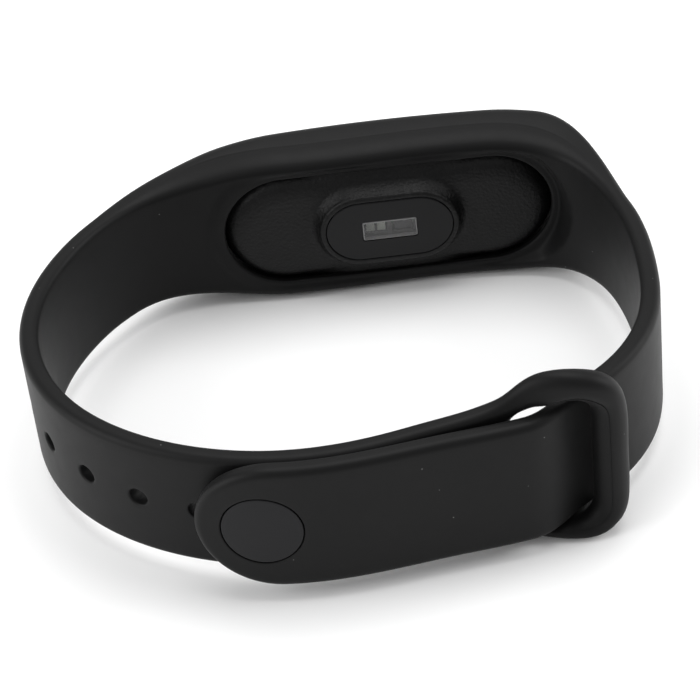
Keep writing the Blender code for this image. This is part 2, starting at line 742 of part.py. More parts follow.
def make_contacts(gold):
    for name, z in contact_places():
        contact_disc(name, z, CONTACT_DIAMETER, 0, gold)


def tube_between(name, outside, inside, finish):
    """A ring-shaped piece: its outer face from back to front, then its inner face back again."""
    return loft(name, outside + inside[::-1], finish, closed=True)


def make_front(plastic, seal, glass):
    """The gasket, the front half of the case and the arched window that closes it."""
    gasket_front = GASKET_BACK + GASKET_THICKNESS
    tube_between(
        "case_gasket",
        [case_outline(GASKET_INSET, GASKET_BACK), case_outline(GASKET_INSET, gasket_front)],
        [case_outline(SHELL_WALL, GASKET_BACK), case_outline(SHELL_WALL, gasket_front)],
        seal,
    )
    edge = FRONT_RIM - 0.6 * MM
    tube_between(
        "front_shell",
        [
            case_outline(0.0, FRONT_SHELL_BACK),
            case_outline(0.0, edge - 0.9 * MM),
            case_outline(0.15 * MM, edge),
            case_outline(0.45 * MM, FRONT_RIM),
        ],
        [
            case_outline(SHELL_WALL, FRONT_SHELL_BACK),
            case_outline(SHELL_WALL, edge - 0.9 * MM),
            case_outline(FRONT_WALL, edge - 0.6 * MM),
            case_outline(FRONT_WALL, FRONT_RIM),
        ],
        plastic,
    )
    inset = FRONT_WALL + 0.15 * MM
    rise = WINDOW_THICKNESS
    loft(
        "front_window",
        [
            case_outline(inset, WINDOW_BACK),
            case_outline(inset, WINDOW_BACK + rise * 0.35),
            case_outline(inset + 0.25 * MM, WINDOW_BACK + rise * 0.75, WINDOW_ARCH * 0.6),
            case_outline(inset + 0.9 * MM, WINDOW_BACK + rise * 0.95, WINDOW_ARCH),
            case_outline(inset + 2.2 * MM, WINDOW_BACK + rise, WINDOW_ARCH),
        ],
        glass,
    )


def make_inside(finishes):
    """Battery, boards, display and the small pieces on them, from the wrist side outwards."""
    battery_left = MOTOR_RIGHT + BATTERY_TO_MOTOR
    battery_length = end_reach(BATTERY_WIDTH) - battery_left
    battery = (battery_length, BATTERY_THICKNESS, BATTERY_WIDTH)
    battery_x = battery_left + battery_length / 2
    box("battery_cell", battery, (battery_x, BATTERY_BACK, 0), finishes["foil"])
    margin = SHELL_WALL + BOARD_MARGIN
    carrier = loft(
        "inner_carrier",
        [
            case_outline(margin, CARRIER_BACK),
            case_outline(margin, CARRIER_BACK + CARRIER_THICKNESS),
        ],
        finishes["plastic"],
    )
    window = (TRACKER_LENGTH / 4, THROUGH, TRACKER_WIDTH / 3)
    for name, side in (("carrier_window_left", -1), ("carrier_window_right", 1)):
        middle = (side * TRACKER_LENGTH / 6, CARRIER_BACK - THROUGH / 2, 0)
        boolean(carrier, box(name, window, middle), "DIFFERENCE")
    loft(
        "main_board",
        [case_outline(margin, BOARD_BACK), case_outline(margin, BOARD_BACK + BOARD_THICKNESS)],
        finishes["board"],
    )
    face = DISPLAY_BACK
    display_length = TRACKER_LENGTH - 2 * DISPLAY_END_ROOM
    display = (display_length, DISPLAY_THICKNESS, DISPLAY_WIDTH)
    box("display_module", display, (0, face, 0), finishes["display"])
    flex_x = (display_length + FLEX_SIZE[0]) / 2 + GAP
    box("display_flex", FLEX_SIZE, (flex_x, face, 0), finishes["flex"])
    left = -display_length / 2 - GAP
    right = flex_x + FLEX_SIZE[0] / 2 + GAP
    for name, length, width, start, side in (
        ("bluetooth_chip", 3.6 * MM, 3.6 * MM, left - 3.6 * MM, 1),
        ("power_chip", 2.6 * MM, 2.6 * MM, left - 3.1 * MM, -1),
        ("motion_sensor_chip", 2.2 * MM, 2.2 * MM, right + 0.5 * MM, 1),
        ("memory_chip", 3.0 * MM, 2.4 * MM, right + 0.1 * MM, -1),
    ):
        middle = (start + length / 2, face, side * (CHIP_GAP + width) / 2)
        box(name, (length, CHIP_HEIGHT, width), middle, finishes["chip"])
    antenna_x = end_reach(ANTENNA_SIZE[2]) - ANTENNA_SIZE[0] / 2 - GAP
    box("antenna", ANTENNA_SIZE, (antenna_x, face, 0), finishes["gold"])
    pad_x = -end_reach(TOUCH_PAD_DIAMETER) + TOUCH_PAD_DIAMETER / 2
    pad_middle = (pad_x, face, 0)
    gold = finishes["gold"]
    disc("touch_pad", TOUCH_PAD_DIAMETER, TOUCH_PAD_THICKNESS, pad_middle, gold, 24)


def make_motor(steel, tungsten):
    """The coin vibration motor: a cup, its base plate, and the half-disc weight that spins inside."""
    x = MOTOR_X
    back = BACK_LEVEL + GAP
    radius = MOTOR_DIAMETER / 2
    turns = np.linspace(0, 2 * math.pi, 28, endpoint=False)

    def ring(size, level):
        return np.column_stack([x + size * np.cos(turns), 0 * turns + level, size * np.sin(turns)])

    disc("motor_base", MOTOR_DIAMETER, MOTOR_BASE_THICKNESS, (x, back, 0), steel, 28)
    cup_back = back + MOTOR_BASE_THICKNESS + GAP
    cup_top = back + MOTOR_HEIGHT
    bore = radius - MOTOR_WALL
    loft(
        "motor_cup",
        [
            ring(bore, cup_top - MOTOR_WALL),
            ring(bore, cup_back),
            ring(radius, cup_back),
            ring(radius, cup_top),
        ],
        steel,
    )
    weight_back = cup_back + GAP
    weight_top = cup_top - MOTOR_WALL - GAP
    half = np.linspace(math.pi, 2 * math.pi, 14)
    hub = np.linspace(0, math.pi, 10)[1:-1]
    reach = bore - GAP
    small = radius * 0.3
    outline = np.vstack(
        [
            np.column_stack([reach * np.cos(half), reach * np.sin(half)]),
            np.column_stack([small * np.cos(hub), small * np.sin(hub)]),
        ]
    )
    rings = [
        np.column_stack([outline[:, 0], np.full(len(outline), level), outline[:, 1]])
        for level in (weight_back, weight_top)
    ]
    weight = loft("motor_weight", rings, tungsten)
    weight.location.x = x


def stand_on_edge():
    """Hangs the pieces on two empties, with the band's footprint centred at the world's origin."""
    bpy.context.view_layer.update()
    solids = [item for item in bpy.data.objects if item.type == "MESH" and not item.hide_render]
    corners = np.array(
        [tuple(item.matrix_world @ vertex.co) for item in solids for vertex in item.data.vertices]
    )
    low, high = corners.min(axis=0), corners.max(axis=0)
    origin = bpy.data.objects.new("band", None)
    origin.location = (-(low[0] + high[0]) / 2, -(low[1] + high[1]) / 2, -low[2])
    bpy.context.scene.collection.objects.link(origin)
    hinge = LOOP.at(FLEX_LINE, LAYER + STRAP_THICKNESS)[0]
    lift = bpy.data.objects.new("tail_flex_line", None)
    lift.location = (hinge[0], hinge[1], 0)
    bpy.context.scene.collection.objects.link(lift)
    lift.parent = origin
    on_tail = {"stud_tail", "cap_pocket", "post_bore", "stud_cap", "stud_post"}
    for item in list(bpy.data.objects):
        if item.type != "MESH":
            continue
        if item.name in on_tail:
            item.location.x -= hinge[0]
            item.location.y -= hinge[1]
            item.parent = lift
        else:
            item.parent = origin


def main():
    clear_scene()
    rubber = material("silicone", (0.018, 0.018, 0.019), 0.55)
    case = material("case_plastic", (0.015, 0.015, 0.016), 0.45)
    gloss = material("lens_gloss", (0.008, 0.008, 0.009), 0.12)
    clear = material("sensor_clear", (0.30, 0.31, 0.30), 0.15, transmission=0.6)
    barrier = material("barrier_black", (0.02, 0.02, 0.02), 0.7)
    green = material("led_green", (0.10, 0.55, 0.18), 0.3)
    silicon = material("silicon", (0.10, 0.10, 0.13), 0.2, 0.4)
    board = material("circuit_board", (0.02, 0.10, 0.05), 0.5)
    chip = material("chip_black", (0.03, 0.03, 0.03), 0.5)
    gold = material("gold", (0.83, 0.61, 0.24), 0.25, 1.0)
    foil = material("battery_foil", (0.62, 0.63, 0.65), 0.3, 1.0)
    display = material("display", (0.01, 0.01, 0.012), 0.08)
    flex = material("flex_amber", (0.55, 0.28, 0.05), 0.4)
    steel = material("steel", (0.60, 0.60, 0.61), 0.3, 1.0)
    tungsten = material("tungsten", (0.35, 0.35, 0.36), 0.4, 1.0)
    cap_finish = material("stud_black", (0.03, 0.03, 0.032), 0.35, 0.8)
    glass = material("window_gloss", (0.006, 0.006, 0.007), 0.06)
    seal = material("gasket", (0.05, 0.05, 0.055), 0.8)

    make_cradle(rubber)
    make_hole_arm(rubber)
    make_keeper(rubber)
    make_stud_arm(rubber)
    make_tail(rubber)
    make_stud(steel, cap_finish)
    make_rear_shell(case)
    make_sensor(gloss, clear, barrier, green, silicon, board)
    make_contacts(gold)
    make_front(case, seal, glass)
    make_inside(
        {
            "foil": foil,
            "plastic": barrier,
            "board": board,
            "display": display,
            "flex": flex,
            "chip": chip,
            "gold": gold,
        }
    )
    make_motor(steel, tungsten)
    stand_on_edge()


main()
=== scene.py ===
"""Fitness tracker band: the looks of its silicone strap, its stud and the tracker in its cradle.

Strap shapes are worked out in band coordinates: a distance along the inner face of the loop from
the middle of the tracker, a height across the strap, and a depth outwards from the inner face.
"""

import math

import bmesh
import bpy
import mathutils
import numpy as np
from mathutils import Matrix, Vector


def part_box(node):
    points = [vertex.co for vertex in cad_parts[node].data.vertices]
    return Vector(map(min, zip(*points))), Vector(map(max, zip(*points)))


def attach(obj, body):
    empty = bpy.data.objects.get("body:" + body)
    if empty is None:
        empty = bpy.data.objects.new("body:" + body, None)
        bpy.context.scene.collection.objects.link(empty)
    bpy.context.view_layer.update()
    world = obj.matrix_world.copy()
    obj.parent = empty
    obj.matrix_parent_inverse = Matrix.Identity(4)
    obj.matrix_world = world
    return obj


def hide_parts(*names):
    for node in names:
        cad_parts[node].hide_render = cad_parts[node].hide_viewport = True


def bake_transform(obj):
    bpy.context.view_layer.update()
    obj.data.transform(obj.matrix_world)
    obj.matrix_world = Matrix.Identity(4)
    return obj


bl_info = {
    "name": "Fitness tracker band",
    "version": (1, 0, 0),
    "blender": (4, 5, 0),
    "location": "View3D > Sidebar > Tracker Band",
    "description": "Builds the strap, stud, tracker and studio of a fitness tracker band",
    "category": "Object",
}

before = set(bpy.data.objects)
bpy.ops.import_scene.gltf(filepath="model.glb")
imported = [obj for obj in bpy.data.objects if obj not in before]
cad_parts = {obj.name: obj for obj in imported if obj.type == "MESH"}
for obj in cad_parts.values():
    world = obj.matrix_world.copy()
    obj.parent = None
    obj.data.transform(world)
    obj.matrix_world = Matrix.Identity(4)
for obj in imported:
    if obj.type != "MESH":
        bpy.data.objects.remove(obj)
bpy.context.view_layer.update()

MM = 0.001
CLEAR = 0.3 * MM  # between pieces that seat on each other, as in the frame
SHARP_ANGLE = math.radians(50)  # edges that turn more than this stay crisp

# Tracker
TRACKER_LENGTH = 40.4 * MM
TRACKER_WIDTH = 16.0 * MM
PARTING = 5.0 * MM  # height of the shells' joint above the strap's inner face
SHELL_BACK = 0.3 * MM
SHELL_WALL = 1.1 * MM
FLOOR_THICKNESS = 1.2 * MM
FRONT_RIM = 8.6 * MM
FRONT_WALL = 0.8 * MM
WINDOW_THICKNESS = 1.2 * MM
WINDOW_ARCH = 0.5 * MM
PLATFORM = (16.8 * MM, 9.8 * MM)
PLATFORM_FLARE = 1.1 * MM
PLATFORM_RISE = 1.7 * MM
PLATFORM_RIM = 0.42 * MM  # rounding of its top edge
LENS = (15.2 * MM, 8.2 * MM)
LENS_THICKNESS = 0.6 * MM
LENS_DOME = 0.12 * MM
BACK_EDGE = (
    (3.6, 0.0),
    (2.6, 0.12),
    (1.5, 0.5),
    (0.95, 1.0),
    (0.45, 1.55),
    (0.12, 2.3),
    (0.0, 3.2),
)  # (inset, height) in millimetres round the back of the tracker
WINDOW_EDGE = (
    (0.0, 0.05),
    (0.02, 0.42),
    (0.25, 0.9),
    (0.9, 1.14),
    (2.2, 1.2),
)  # (inset, height) in millimetres round the window
CASE_GRAIN = 0.36 * MM
CASE_GRAIN_DEPTH = 0.12 * MM
TOUCH_MARK = 2.0 * MM
TOUCH_MARK_WIDTH = 0.25 * MM
TOUCH_MARK_INSET = 6.0 * MM
SENSOR_WINDOW = (6.6 * MM, 2.7 * MM)

# Strap
THICKNESS = 2.2 * MM
ARM_WIDTH = 15.2 * MM
TAIL_WIDTH = 16.2 * MM
CRADLE_WIDTH = 20.4 * MM
CRADLE_FACE = 8.6 * MM
CRADLE_FACE_DROP = 1.4 * MM
LEFT_SHOULDER = 15.0 * MM
RIGHT_SHOULDER = 11.0 * MM
CRADLE_LIP = 0.9 * MM
LIP_OVERLAP = 0.5 * MM
SEAT_ROUND = 0.3 * MM
BRIM_ROUND = 0.5 * MM
CRADLE_RIDGE = 0.07 * MM  # moulding line along the cradle's upper edge
INNER_ROUND = 0.8 * MM  # rounding of the strap's edges at each face
OUTER_ROUND = 0.9 * MM
CRADLE_INNER_MORE = (0.75 * MM, 2.2 * MM)  # what the cradle adds, (across, deep)
CRADLE_OUTER_MORE = 1.5 * MM
RECESS_DEPTH = 0.4 * MM
RECESS_REACH = 2.1 * MM  # how far the dip round the opening spreads
LOOP_DEPTH = 48.2 * MM
RIGHT_LOBE = (
    (-8.2 * MM, -0.004),
    (0.0 * MM, 0.046),
    (5.1 * MM, 0.225),
    (6.3 * MM, 0.475),
    (4.3 * MM, 0.71),
    (-3.7 * MM, 0.897),
)
FRONT_SPAN = ((2.0 * MM, 0.967), (-13.0 * MM, 1.0))
LEFT_LOBE = (
    (6.8 * MM, 0.92),
    (17.2 * MM, 0.72),
    (20.5 * MM, 0.465),
    (16.8 * MM, 0.2),
    (8.2 * MM, 0.018),
    (-8.2 * MM, -0.004),
)

# Keeper, holes and stud
KEEPER_AT = 65.7 * MM
KEEPER_SLOT = 7.4 * MM
KEEPER_BAR = 3.0 * MM
KEEPER_BAR_DEPTH = 3.6 * MM
KEEPER_ROOM = 0.5 * MM
SLOT_TOP = 9.5 * MM
SLOT_BOTTOM = 8.4 * MM
SLOT_CORNER = 3.0 * MM
SLOT_LIP = 1.45 * MM  # rounding of the slot's edges, where there is room for it
UPPER_RAIL_ROUND = 1.5 * MM  # rounding of the keeper's outer edge, at each side of the slot
LOWER_RAIL_ROUND = 0.86 * MM
BAR_ROUND = KEEPER_BAR * 0.46
SLOT_SHOULDER = 1.15 * MM  # how much lower the slot's top is where it starts from the arm
SADDLE = 2.3 * MM  # how far the keeper's lower rail reaches in under the strap
KEEPER_CREASE = 0.1 * MM  # depth of the moulded line round the slot
KEEPER_OUTLINE = (
    (92.0, 7.6),
    (88.0, 7.72),
    (84.0, 8.0),
    (80.0, 8.35),
    (77.5, 8.75),
    (75.4, 9.45),
    (73.7, 10.7),
    (71.8, 12.1),
    (69.3, 12.68),
    (66.8, 11.9),
    (65.0, 9.7),
    (64.25, 6.5),
    (64.2, 0.5),
    (64.25, -5.2),
    (64.9, -8.0),
    (66.7, -9.7),
    (69.4, -10.18),
    (72.4, -9.85),
    (75.0, -9.2),
    (77.5, -8.72),
    (80.0, -8.35),
    (84.0, -8.0),
    (88.0, -7.72),
    (92.0, -7.6),
)  # (along, height) in millimetres, from the arm's upper edge round to its lower edge
KEEPER_JOINT = 77.5 * MM  # where the keeper's mesh meets the arm's
FLEX_AT = 2.6 * MM
STUD_AT = 100.9 * MM
STUD_TO_TIP = 6.6 * MM
CAP_DIAMETER = 8.8 * MM
CAP_THICKNESS = 0.8 * MM
CAP_DOME = 0.12 * MM
POST_DIAMETER = 2.2 * MM
HEAD_DIAMETER = 3.2 * MM
HEAD_THICKNESS = 0.9 * MM
HOLE_DIAMETER = 2.1 * MM
HOLE_PITCH = 6.8 * MM
FREE_HOLES = 5
COVERED_HOLES = 3

TRACKER_HALF = TRACKER_LENGTH / 2
LAYER = THICKNESS + CLEAR
ARM_END = KEEPER_AT + KEEPER_BAR / 2 + KEEPER_SLOT
FLEX_LINE = ARM_END + THICKNESS + FLEX_AT
TIP = STUD_AT + STUD_TO_TIP
CRADLE_END = TRACKER_HALF + 6.3 * MM
TAIL_ROUND = TIP - TAIL_WIDTH / 2 - 3.0 * MM  # where the tail's round end is meshed from
SPINE = (TRACKER_LENGTH - TRACKER_WIDTH) / 2  # half the straight part of the tracker's outline

AIM_FROM_ORIGIN = (3.599 * MM, 29.175 * MM, 0.0)  # from the camera's aim point to the origin
CAMERA_SLIDE = (-3.148 * MM, 3.094 * MM)

ACROSS = 26  # mesh steps across the strap
STEP = 0.7 * MM  # mesh step along it
WELD = 0.0002 * MM  # points closer than this are joined
HALF_ROUND = 0.49  # share of the keeper's depth that the rounding from each face takes

_low, _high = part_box("rear_shell")
ORIGIN = np.array([(_low.x + _high.x) / 2, _high.y - PARTING, (_low.z + _high.z) / 2])


# Curves


def ease(value, start, end):
    """0 before start, 1 after end, and 3t^2 - 2t^3 between."""
    share = np.clip((np.asarray(value, float) - start) / (end - start), 0, 1)
    return share * share * (3 - 2 * share)


def spline(points, steps, closed=True):
    """Cubic pieces through the points, whose slopes and bends match where they meet."""
    following = np.roll(points, -1, axis=0)
    spans = np.linalg.norm(following - points, axis=1)
    before = np.roll(spans, 1)
    index = np.arange(len(points))
    system = np.diag(2 * (before + spans))
    system[index, index - 1] += before
    system[index, (index + 1) % len(points)] += spans
    slopes = (following - points) / spans[:, None]
    turning = 6 * (slopes - np.roll(slopes, 1, axis=0))
    if not closed:
        system[[0, -1]] = 0
        system[[0, -1], [0, -1]] = 1
        turning[[0, -1]] = 0
    bends = np.linalg.solve(system, turning)
    share = np.linspace(0, 1, steps, endpoint=False)[None, :, None]
    span = spans[:, None, None]
    along = share * span
    left = span - along
    here, there = points[:, None], following[:, None]
    bend, next_bend = bends[:, None], np.roll(bends, -1, axis=0)[:, None]
    curve = (bend * left**3 + next_bend * along**3) / (6 * span)
    curve = curve + (here / span - bend * span / 6) * left
    curve = curve + (there / span - next_bend * span / 6) * along
    if closed:
        return curve.reshape(-1, 2)
    return np.vstack([curve[:-1].reshape(-1, 2), points[-1:]])


class Loop:
    """The inner face of the band from above, by distance from the middle of the tracker."""

    def __init__(self):
        points = [(TRACKER_HALF + x, -share * LOOP_DEPTH) for x, share in RIGHT_LOBE]
        points += [(x, -share * LOOP_DEPTH) for x, share in FRONT_SPAN]
        points += [(-TRACKER_HALF - x, -share * LOOP_DEPTH) for x, share in LEFT_LOBE]
        curve = spline(np.array(points), 60)
        nearest = np.argmin(np.abs(curve[:, 0]) + (curve[:, 1] < -LOOP_DEPTH / 2))
        curve = np.roll(curve, -nearest, axis=0)
        curve = np.vstack([curve, curve[:1]])
        steps = np.linalg.norm(np.diff(curve, axis=0), axis=1)
        self.curve = curve
        self.reach = np.concatenate([[0], np.cumsum(steps)])
        self.length = self.reach[-1]
        heading = np.gradient(curve, axis=0)
        heading[0] = heading[-1] = curve[1] - curve[-2]
        heading /= np.linalg.norm(heading, axis=1)[:, None]
        self.outward = np.column_stack([-heading[:, 1], heading[:, 0]])

    def facing(self, along):
        """The way out from the loop at each distance along it."""
        along = np.mod(along, self.length)
        facing = [np.interp(along, self.reach, self.outward[:, i]) for i in (0, 1)]
        facing = np.stack(facing, axis=-1)
        return facing / np.linalg.norm(facing, axis=-1, keepdims=True)

    def at(self, along, out=0.0):
        """Plan position: distance along the loop, and distance out from it."""
        folded = np.mod(along, self.length)
        point = [np.interp(folded, self.reach, self.curve[:, i]) for i in (0, 1)]
        out = np.broadcast_to(out, np.shape(along))[..., None]
        return np.stack(point, axis=-1) + out * self.facing(along)


LOOP = Loop()


# The strap's faces. Left of the tracker, distances along the loop are negative.


def layer(along):
    """How far the stud arm lies outside the loop: it climbs onto the other arm in the keeper."""
    climb = ease(along, KEEPER_AT + 0.5 * MM, KEEPER_AT + KEEPER_SLOT + 0.5 * MM)
    return LAYER * climb


def strap_inner(along):
    """The inner face: the loop itself, moved out by a layer past the keeper."""
    return LOOP.at(along, layer(along))


def strap_outer(along):
    """The outer face: an arched cradle round the tracker that eases into an even thickness."""
    inner = LOOP.at(along)
    arm = LOOP.at(along, layer(along) + THICKNESS)
    drop = CRADLE_FACE_DROP * (inner[..., 0] / TRACKER_HALF) ** 2
    cradle = np.stack([inner[..., 0] * 1.05, CRADLE_FACE - drop], axis=-1)
    shoulder = np.where(np.asarray(along) > 0, RIGHT_SHOULDER, LEFT_SHOULDER)
    share = ease(np.abs(along), TRACKER_HALF - 2 * MM, TRACKER_HALF + shoulder)
    return cradle + (arm - cradle) * share[..., None]


def keeper_level(along):
    """How far the keeper has risen from the arm towards its end bar."""
    return 1 - ease(np.asarray(along) + LOOP.length, KEEPER_AT, ARM_END)


def keeper_inner(along):
    """The ring's inner face: the loop, raised by the strap under it as the ring rises."""
    middle = KEEPER_ROOM + THICKNESS
    return LOOP.at(along, middle * keeper_level(along))


def keeper_outer(along):
    """The ring's outer face: the arm's, raised to the outside of the end bar."""
    outer = KEEPER_ROOM + KEEPER_BAR_DEPTH
    return LOOP.at(along, THICKNESS + outer * keeper_level(along))


def keeper_outline():
    """The keeper's edge as a dense curve, in signed distance along and height."""
    points = np.array(KEEPER_OUTLINE) * MM
    curve = spline(points, 40, closed=False)
    return curve - (LOOP.length, 0)


def edges(along):
    """Heights of the strap's upper and lower edges, the lower one as a positive number."""
    along = np.asarray(along, float)
    narrowing = ease(np.abs(along), TRACKER_HALF - 8 * MM, TRACKER_HALF + 12 * MM)
    half = CRADLE_WIDTH / 2 + (ARM_WIDTH - CRADLE_WIDTH) / 2 * narrowing
    widening = ease(along, TRACKER_HALF + 12 * MM, KEEPER_AT - 8 * MM)
    half = half + (TAIL_WIDTH - ARM_WIDTH) / 2 * widening
    curve = keeper_outline()
    middle = len(curve) // 2
    nearness = along < curve[0, 0]
    upper, lower = curve[:middle][::-1], curve[middle:]
    above = np.interp(along, upper[:, 0], upper[:, 1])
    below = -np.interp(along, lower[:, 0], lower[:, 1])
    return np.where(nearness, above, half), np.where(nearness, below, half)


def edge_radii(along):
    """Edge radii as (across, deep) at the inner and at the outer face."""
    bulge = 1 - ease(np.abs(along), TRACKER_HALF - 2 * MM, TRACKER_HALF + 14 * MM)
    inner = tuple(INNER_ROUND + more * bulge for more in CRADLE_INNER_MORE)
    outer = (OUTER_ROUND + CRADLE_OUTER_MORE * bulge,) * 2
    return inner, outer


def place(along, height, depth, inner, outer):
    """World points. Depth runs from 0 on the inner face to the wall's own thickness."""
    near = inner(along)
    across = outer(along) - near
    thick = np.linalg.norm(across, axis=-1, keepdims=True)
    plan = near + across * (np.asarray(depth)[..., None] / thick)
    return np.concatenate([plan, height[..., None]], axis=-1) + ORIGIN


def wall_depth(along, inner, outer):
    """The distance from one face to the other."""
    return np.linalg.norm(outer(along) - inner(along), axis=-1)


def strap_depth(along):
    return wall_depth(along, strap_inner, strap_outer)


def keeper_depth(along):
    return wall_depth(along, keeper_inner, keeper_outer)


# Meshes


def grid_quads(rows, columns):
    """Corner numbers of the faces of a grid whose points are numbered along its rows."""
    corner = np.arange(rows - 1)[:, None] * columns + np.arange(columns - 1)[None]
    corner = corner.reshape(-1)
    return np.stack([corner, corner + 1, corner + columns + 1, corner + columns], axis=1)


def welded(patches):
    """Joins grids of points where they touch, and drops the corners and faces that close up.

    It returns the points, the faces' corners one after another, and where each face starts.
    """
    points = np.vstack([patch.reshape(-1, 3) for patch in patches])
    sizes = [patch.shape[0] * patch.shape[1] for patch in patches]
    starts = np.concatenate([[0], np.cumsum(sizes)[:-1]])
    quads = np.vstack(
        [grid_quads(*patch.shape[:2]) + start for patch, start in zip(patches, starts)]
    )
    keys = np.round(points / WELD).astype(np.int64)
    _, first, index = np.unique(keys, axis=0, return_index=True, return_inverse=True)
    quads = index.reshape(-1)[quads]
    new = np.ones(quads.shape, bool)
    new[:, 1] = quads[:, 1] != quads[:, 0]
    new[:, 2] = (quads[:, 2:3] != quads[:, :2]).all(axis=1)
    new[:, 3] = (quads[:, 3:4] != quads[:, :3]).all(axis=1)
    open_faces = new.sum(axis=1) > 2
    quads, new = quads[open_faces], new[open_faces]
    starts = np.concatenate([[0], np.cumsum(new.sum(axis=1))[:-1]])
    return points[first], quads[new].astype(np.int32), starts.astype(np.int32)


def surface(name, patches, finish, body=None, caps=()):
    """A closed mesh from grids that meet edge to edge, with flat caps on the given outlines."""
    points, corners, starts = welded(list(patches) + [fan(outline) for outline in caps])
    mesh = bpy.data.meshes.new(name)
    mesh.vertices.add(len(points))
    mesh.vertices.foreach_set("co", points.reshape(-1))
    mesh.loops.add(len(corners))
    mesh.loops.foreach_set("vertex_index", corners)
    mesh.polygons.add(len(starts))
    mesh.polygons.foreach_set("loop_start", starts)
    mesh.update(calc_edges=True)
    shape = bmesh.new()
    shape.from_mesh(mesh)
    bmesh.ops.recalc_face_normals(shape, faces=shape.faces)
    shape.to_mesh(mesh)
    shape.free()
    mesh.shade_smooth()
    mesh.set_sharp_from_angle(angle=SHARP_ANGLE)
    mesh.materials.append(finish)
    piece = bpy.data.objects.new(name, mesh)
    bpy.context.scene.collection.objects.link(piece)
    if body:
        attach(piece, body)
    return piece


def fan(outline):
    """A cap: a grid whose first row is the closed outline and whose last is its middle."""
    middle = np.broadcast_to(outline.mean(axis=0), outline.shape)
    rows = np.stack([outline, middle])
    return np.concatenate([rows, rows[:, :1]], axis=1)


def edge_strip(outline, normal, thick_at, inner_radius, outer_radius, ridge=0.0):
    """Rounds the wall's edge: two quarter ellipses with a straight part that can carry a ridge.

    It returns along, height and depth arrays with a row per step round the edge.
    """
    turn = np.linspace(0, math.pi / 2, 8)[:, None]
    across_in, deep_in = inner_radius
    across_out, deep_out = outer_radius
    thick = thick_at(outline[:, 0])
    straight = thick - deep_in - deep_out
    steps = np.array([0.2, 0.5, 0.8])[:, None]
    reach = np.vstack(
        [
            -across_in * (1 - np.sin(turn)),
            ridge * np.array([0.0, 1.0, 0.0])[:, None] + 0 * straight,
            -across_out * (1 - np.sin(turn[::-1])),
        ]
    )
    along = outline[:, 0] + reach * normal[:, 0]
    height = outline[:, 1] + reach * normal[:, 1]
    outer_rows = len(turn)
    depth = np.vstack(
        [
            deep_in * (1 - np.cos(turn)),
            deep_in + np.minimum(straight, 0.6 * MM) * steps,
            thick_at(along[-outer_rows:]) - deep_out * (1 - np.cos(turn[::-1])),
        ]
    )
    return along, height, depth


def tube(reach, ridge=0.0):
    """A plain length of strap through the distances in reach: two faces and two rounded edges.

    Each face is straight across between the edges' roundings. A ridge runs along the upper edge.
    """
    upper, lower = edges(reach)
    near, far = edge_radii(reach)
    thick = strap_depth(reach)
    share = np.linspace(0, 1, ACROSS + 1)[:, None]
    patches = []
    for radius, depth in ((near[0], 0 * thick), (far[0], thick)):
        bottom, top = radius - lower, upper - radius
        height = bottom + (top - bottom) * share
        along = reach + 0 * height
        patches.append(place(along, height, depth + 0 * height, strap_inner, strap_outer))
    for side, edge in ((1, upper), (-1, lower)):
        outline = np.column_stack([reach, side * edge])
        normal = np.tile((0.0, float(side)), (len(reach), 1))
        raised = ridge * bulge_at(reach) * (side > 0)
        strip = edge_strip(outline, normal, strap_depth, near, far, raised)
        patches.append(place(*strip, strap_inner, strap_outer))
    return patches


def bulge_at(along):
    """1 along the tracker, easing to 0 just before the cradle ends."""
    return 1 - ease(np.abs(along), TRACKER_HALF - 2 * MM, CRADLE_END - 1 * MM)


def end_outline(patches, column):
    """The closed outline where a tube ends, from its first or last column."""
    near, far, top, bottom = patches
    parts = (near[:, column], top[1:, column], far[::-1][1:, column], bottom[::-1][1:-1, column])
    return np.vstack(parts)


def rounded_hole(rim, centre, core, radius):
    """The point of a rounded rectangle nearest to each rim point: a core box grown by a radius."""
    away = rim - centre
    inside = np.clip(away, core[0], core[1])
    away = away - inside
    length = np.linalg.norm(away, axis=-1, keepdims=True)
    return centre + inside + away / length * np.broadcast_to(radius, rim.shape[:-1])[..., None]


def pierced_rim(start, end, steps, inset):
    """Points round a length of strap: up one end, back along the top, down and along the bottom."""
    ends = np.array([end, start])
    upper, lower = edges(ends)
    top, bottom = upper - inset(ends), inset(ends) - lower
    across = np.linspace(0, 1, ACROSS + 1)[:-1]
    climb = bottom[0] * (1 - across) + top[0] * across
    fall = top[1] * (1 - across) + bottom[1] * across
    back = np.linspace(end, start, steps + 1)[:-1]
    forth = np.linspace(start, end, steps + 1)[:-1]
    return np.vstack(
        [
            np.column_stack([np.full(ACROSS, end), climb]),
            np.column_stack([back, edges(back)[0] - inset(back)]),
            np.column_stack([np.full(ACROSS, start), fall]),
            np.column_stack([forth, inset(forth) - edges(forth)[1]]),
        ]
    )


def wrapped(grid):
    """Repeats the first column at the end, so that a ring of points closes."""
    return np.concatenate([grid, grid[:, :1]], axis=1)


def face_rows(rim, hole, steps):
    """Rows from the rim in to the hole, closer together near the hole."""
    share = (np.linspace(0, 1, steps + 1) ** 0.8)[:, None, None]
    return rim + (hole - rim) * share


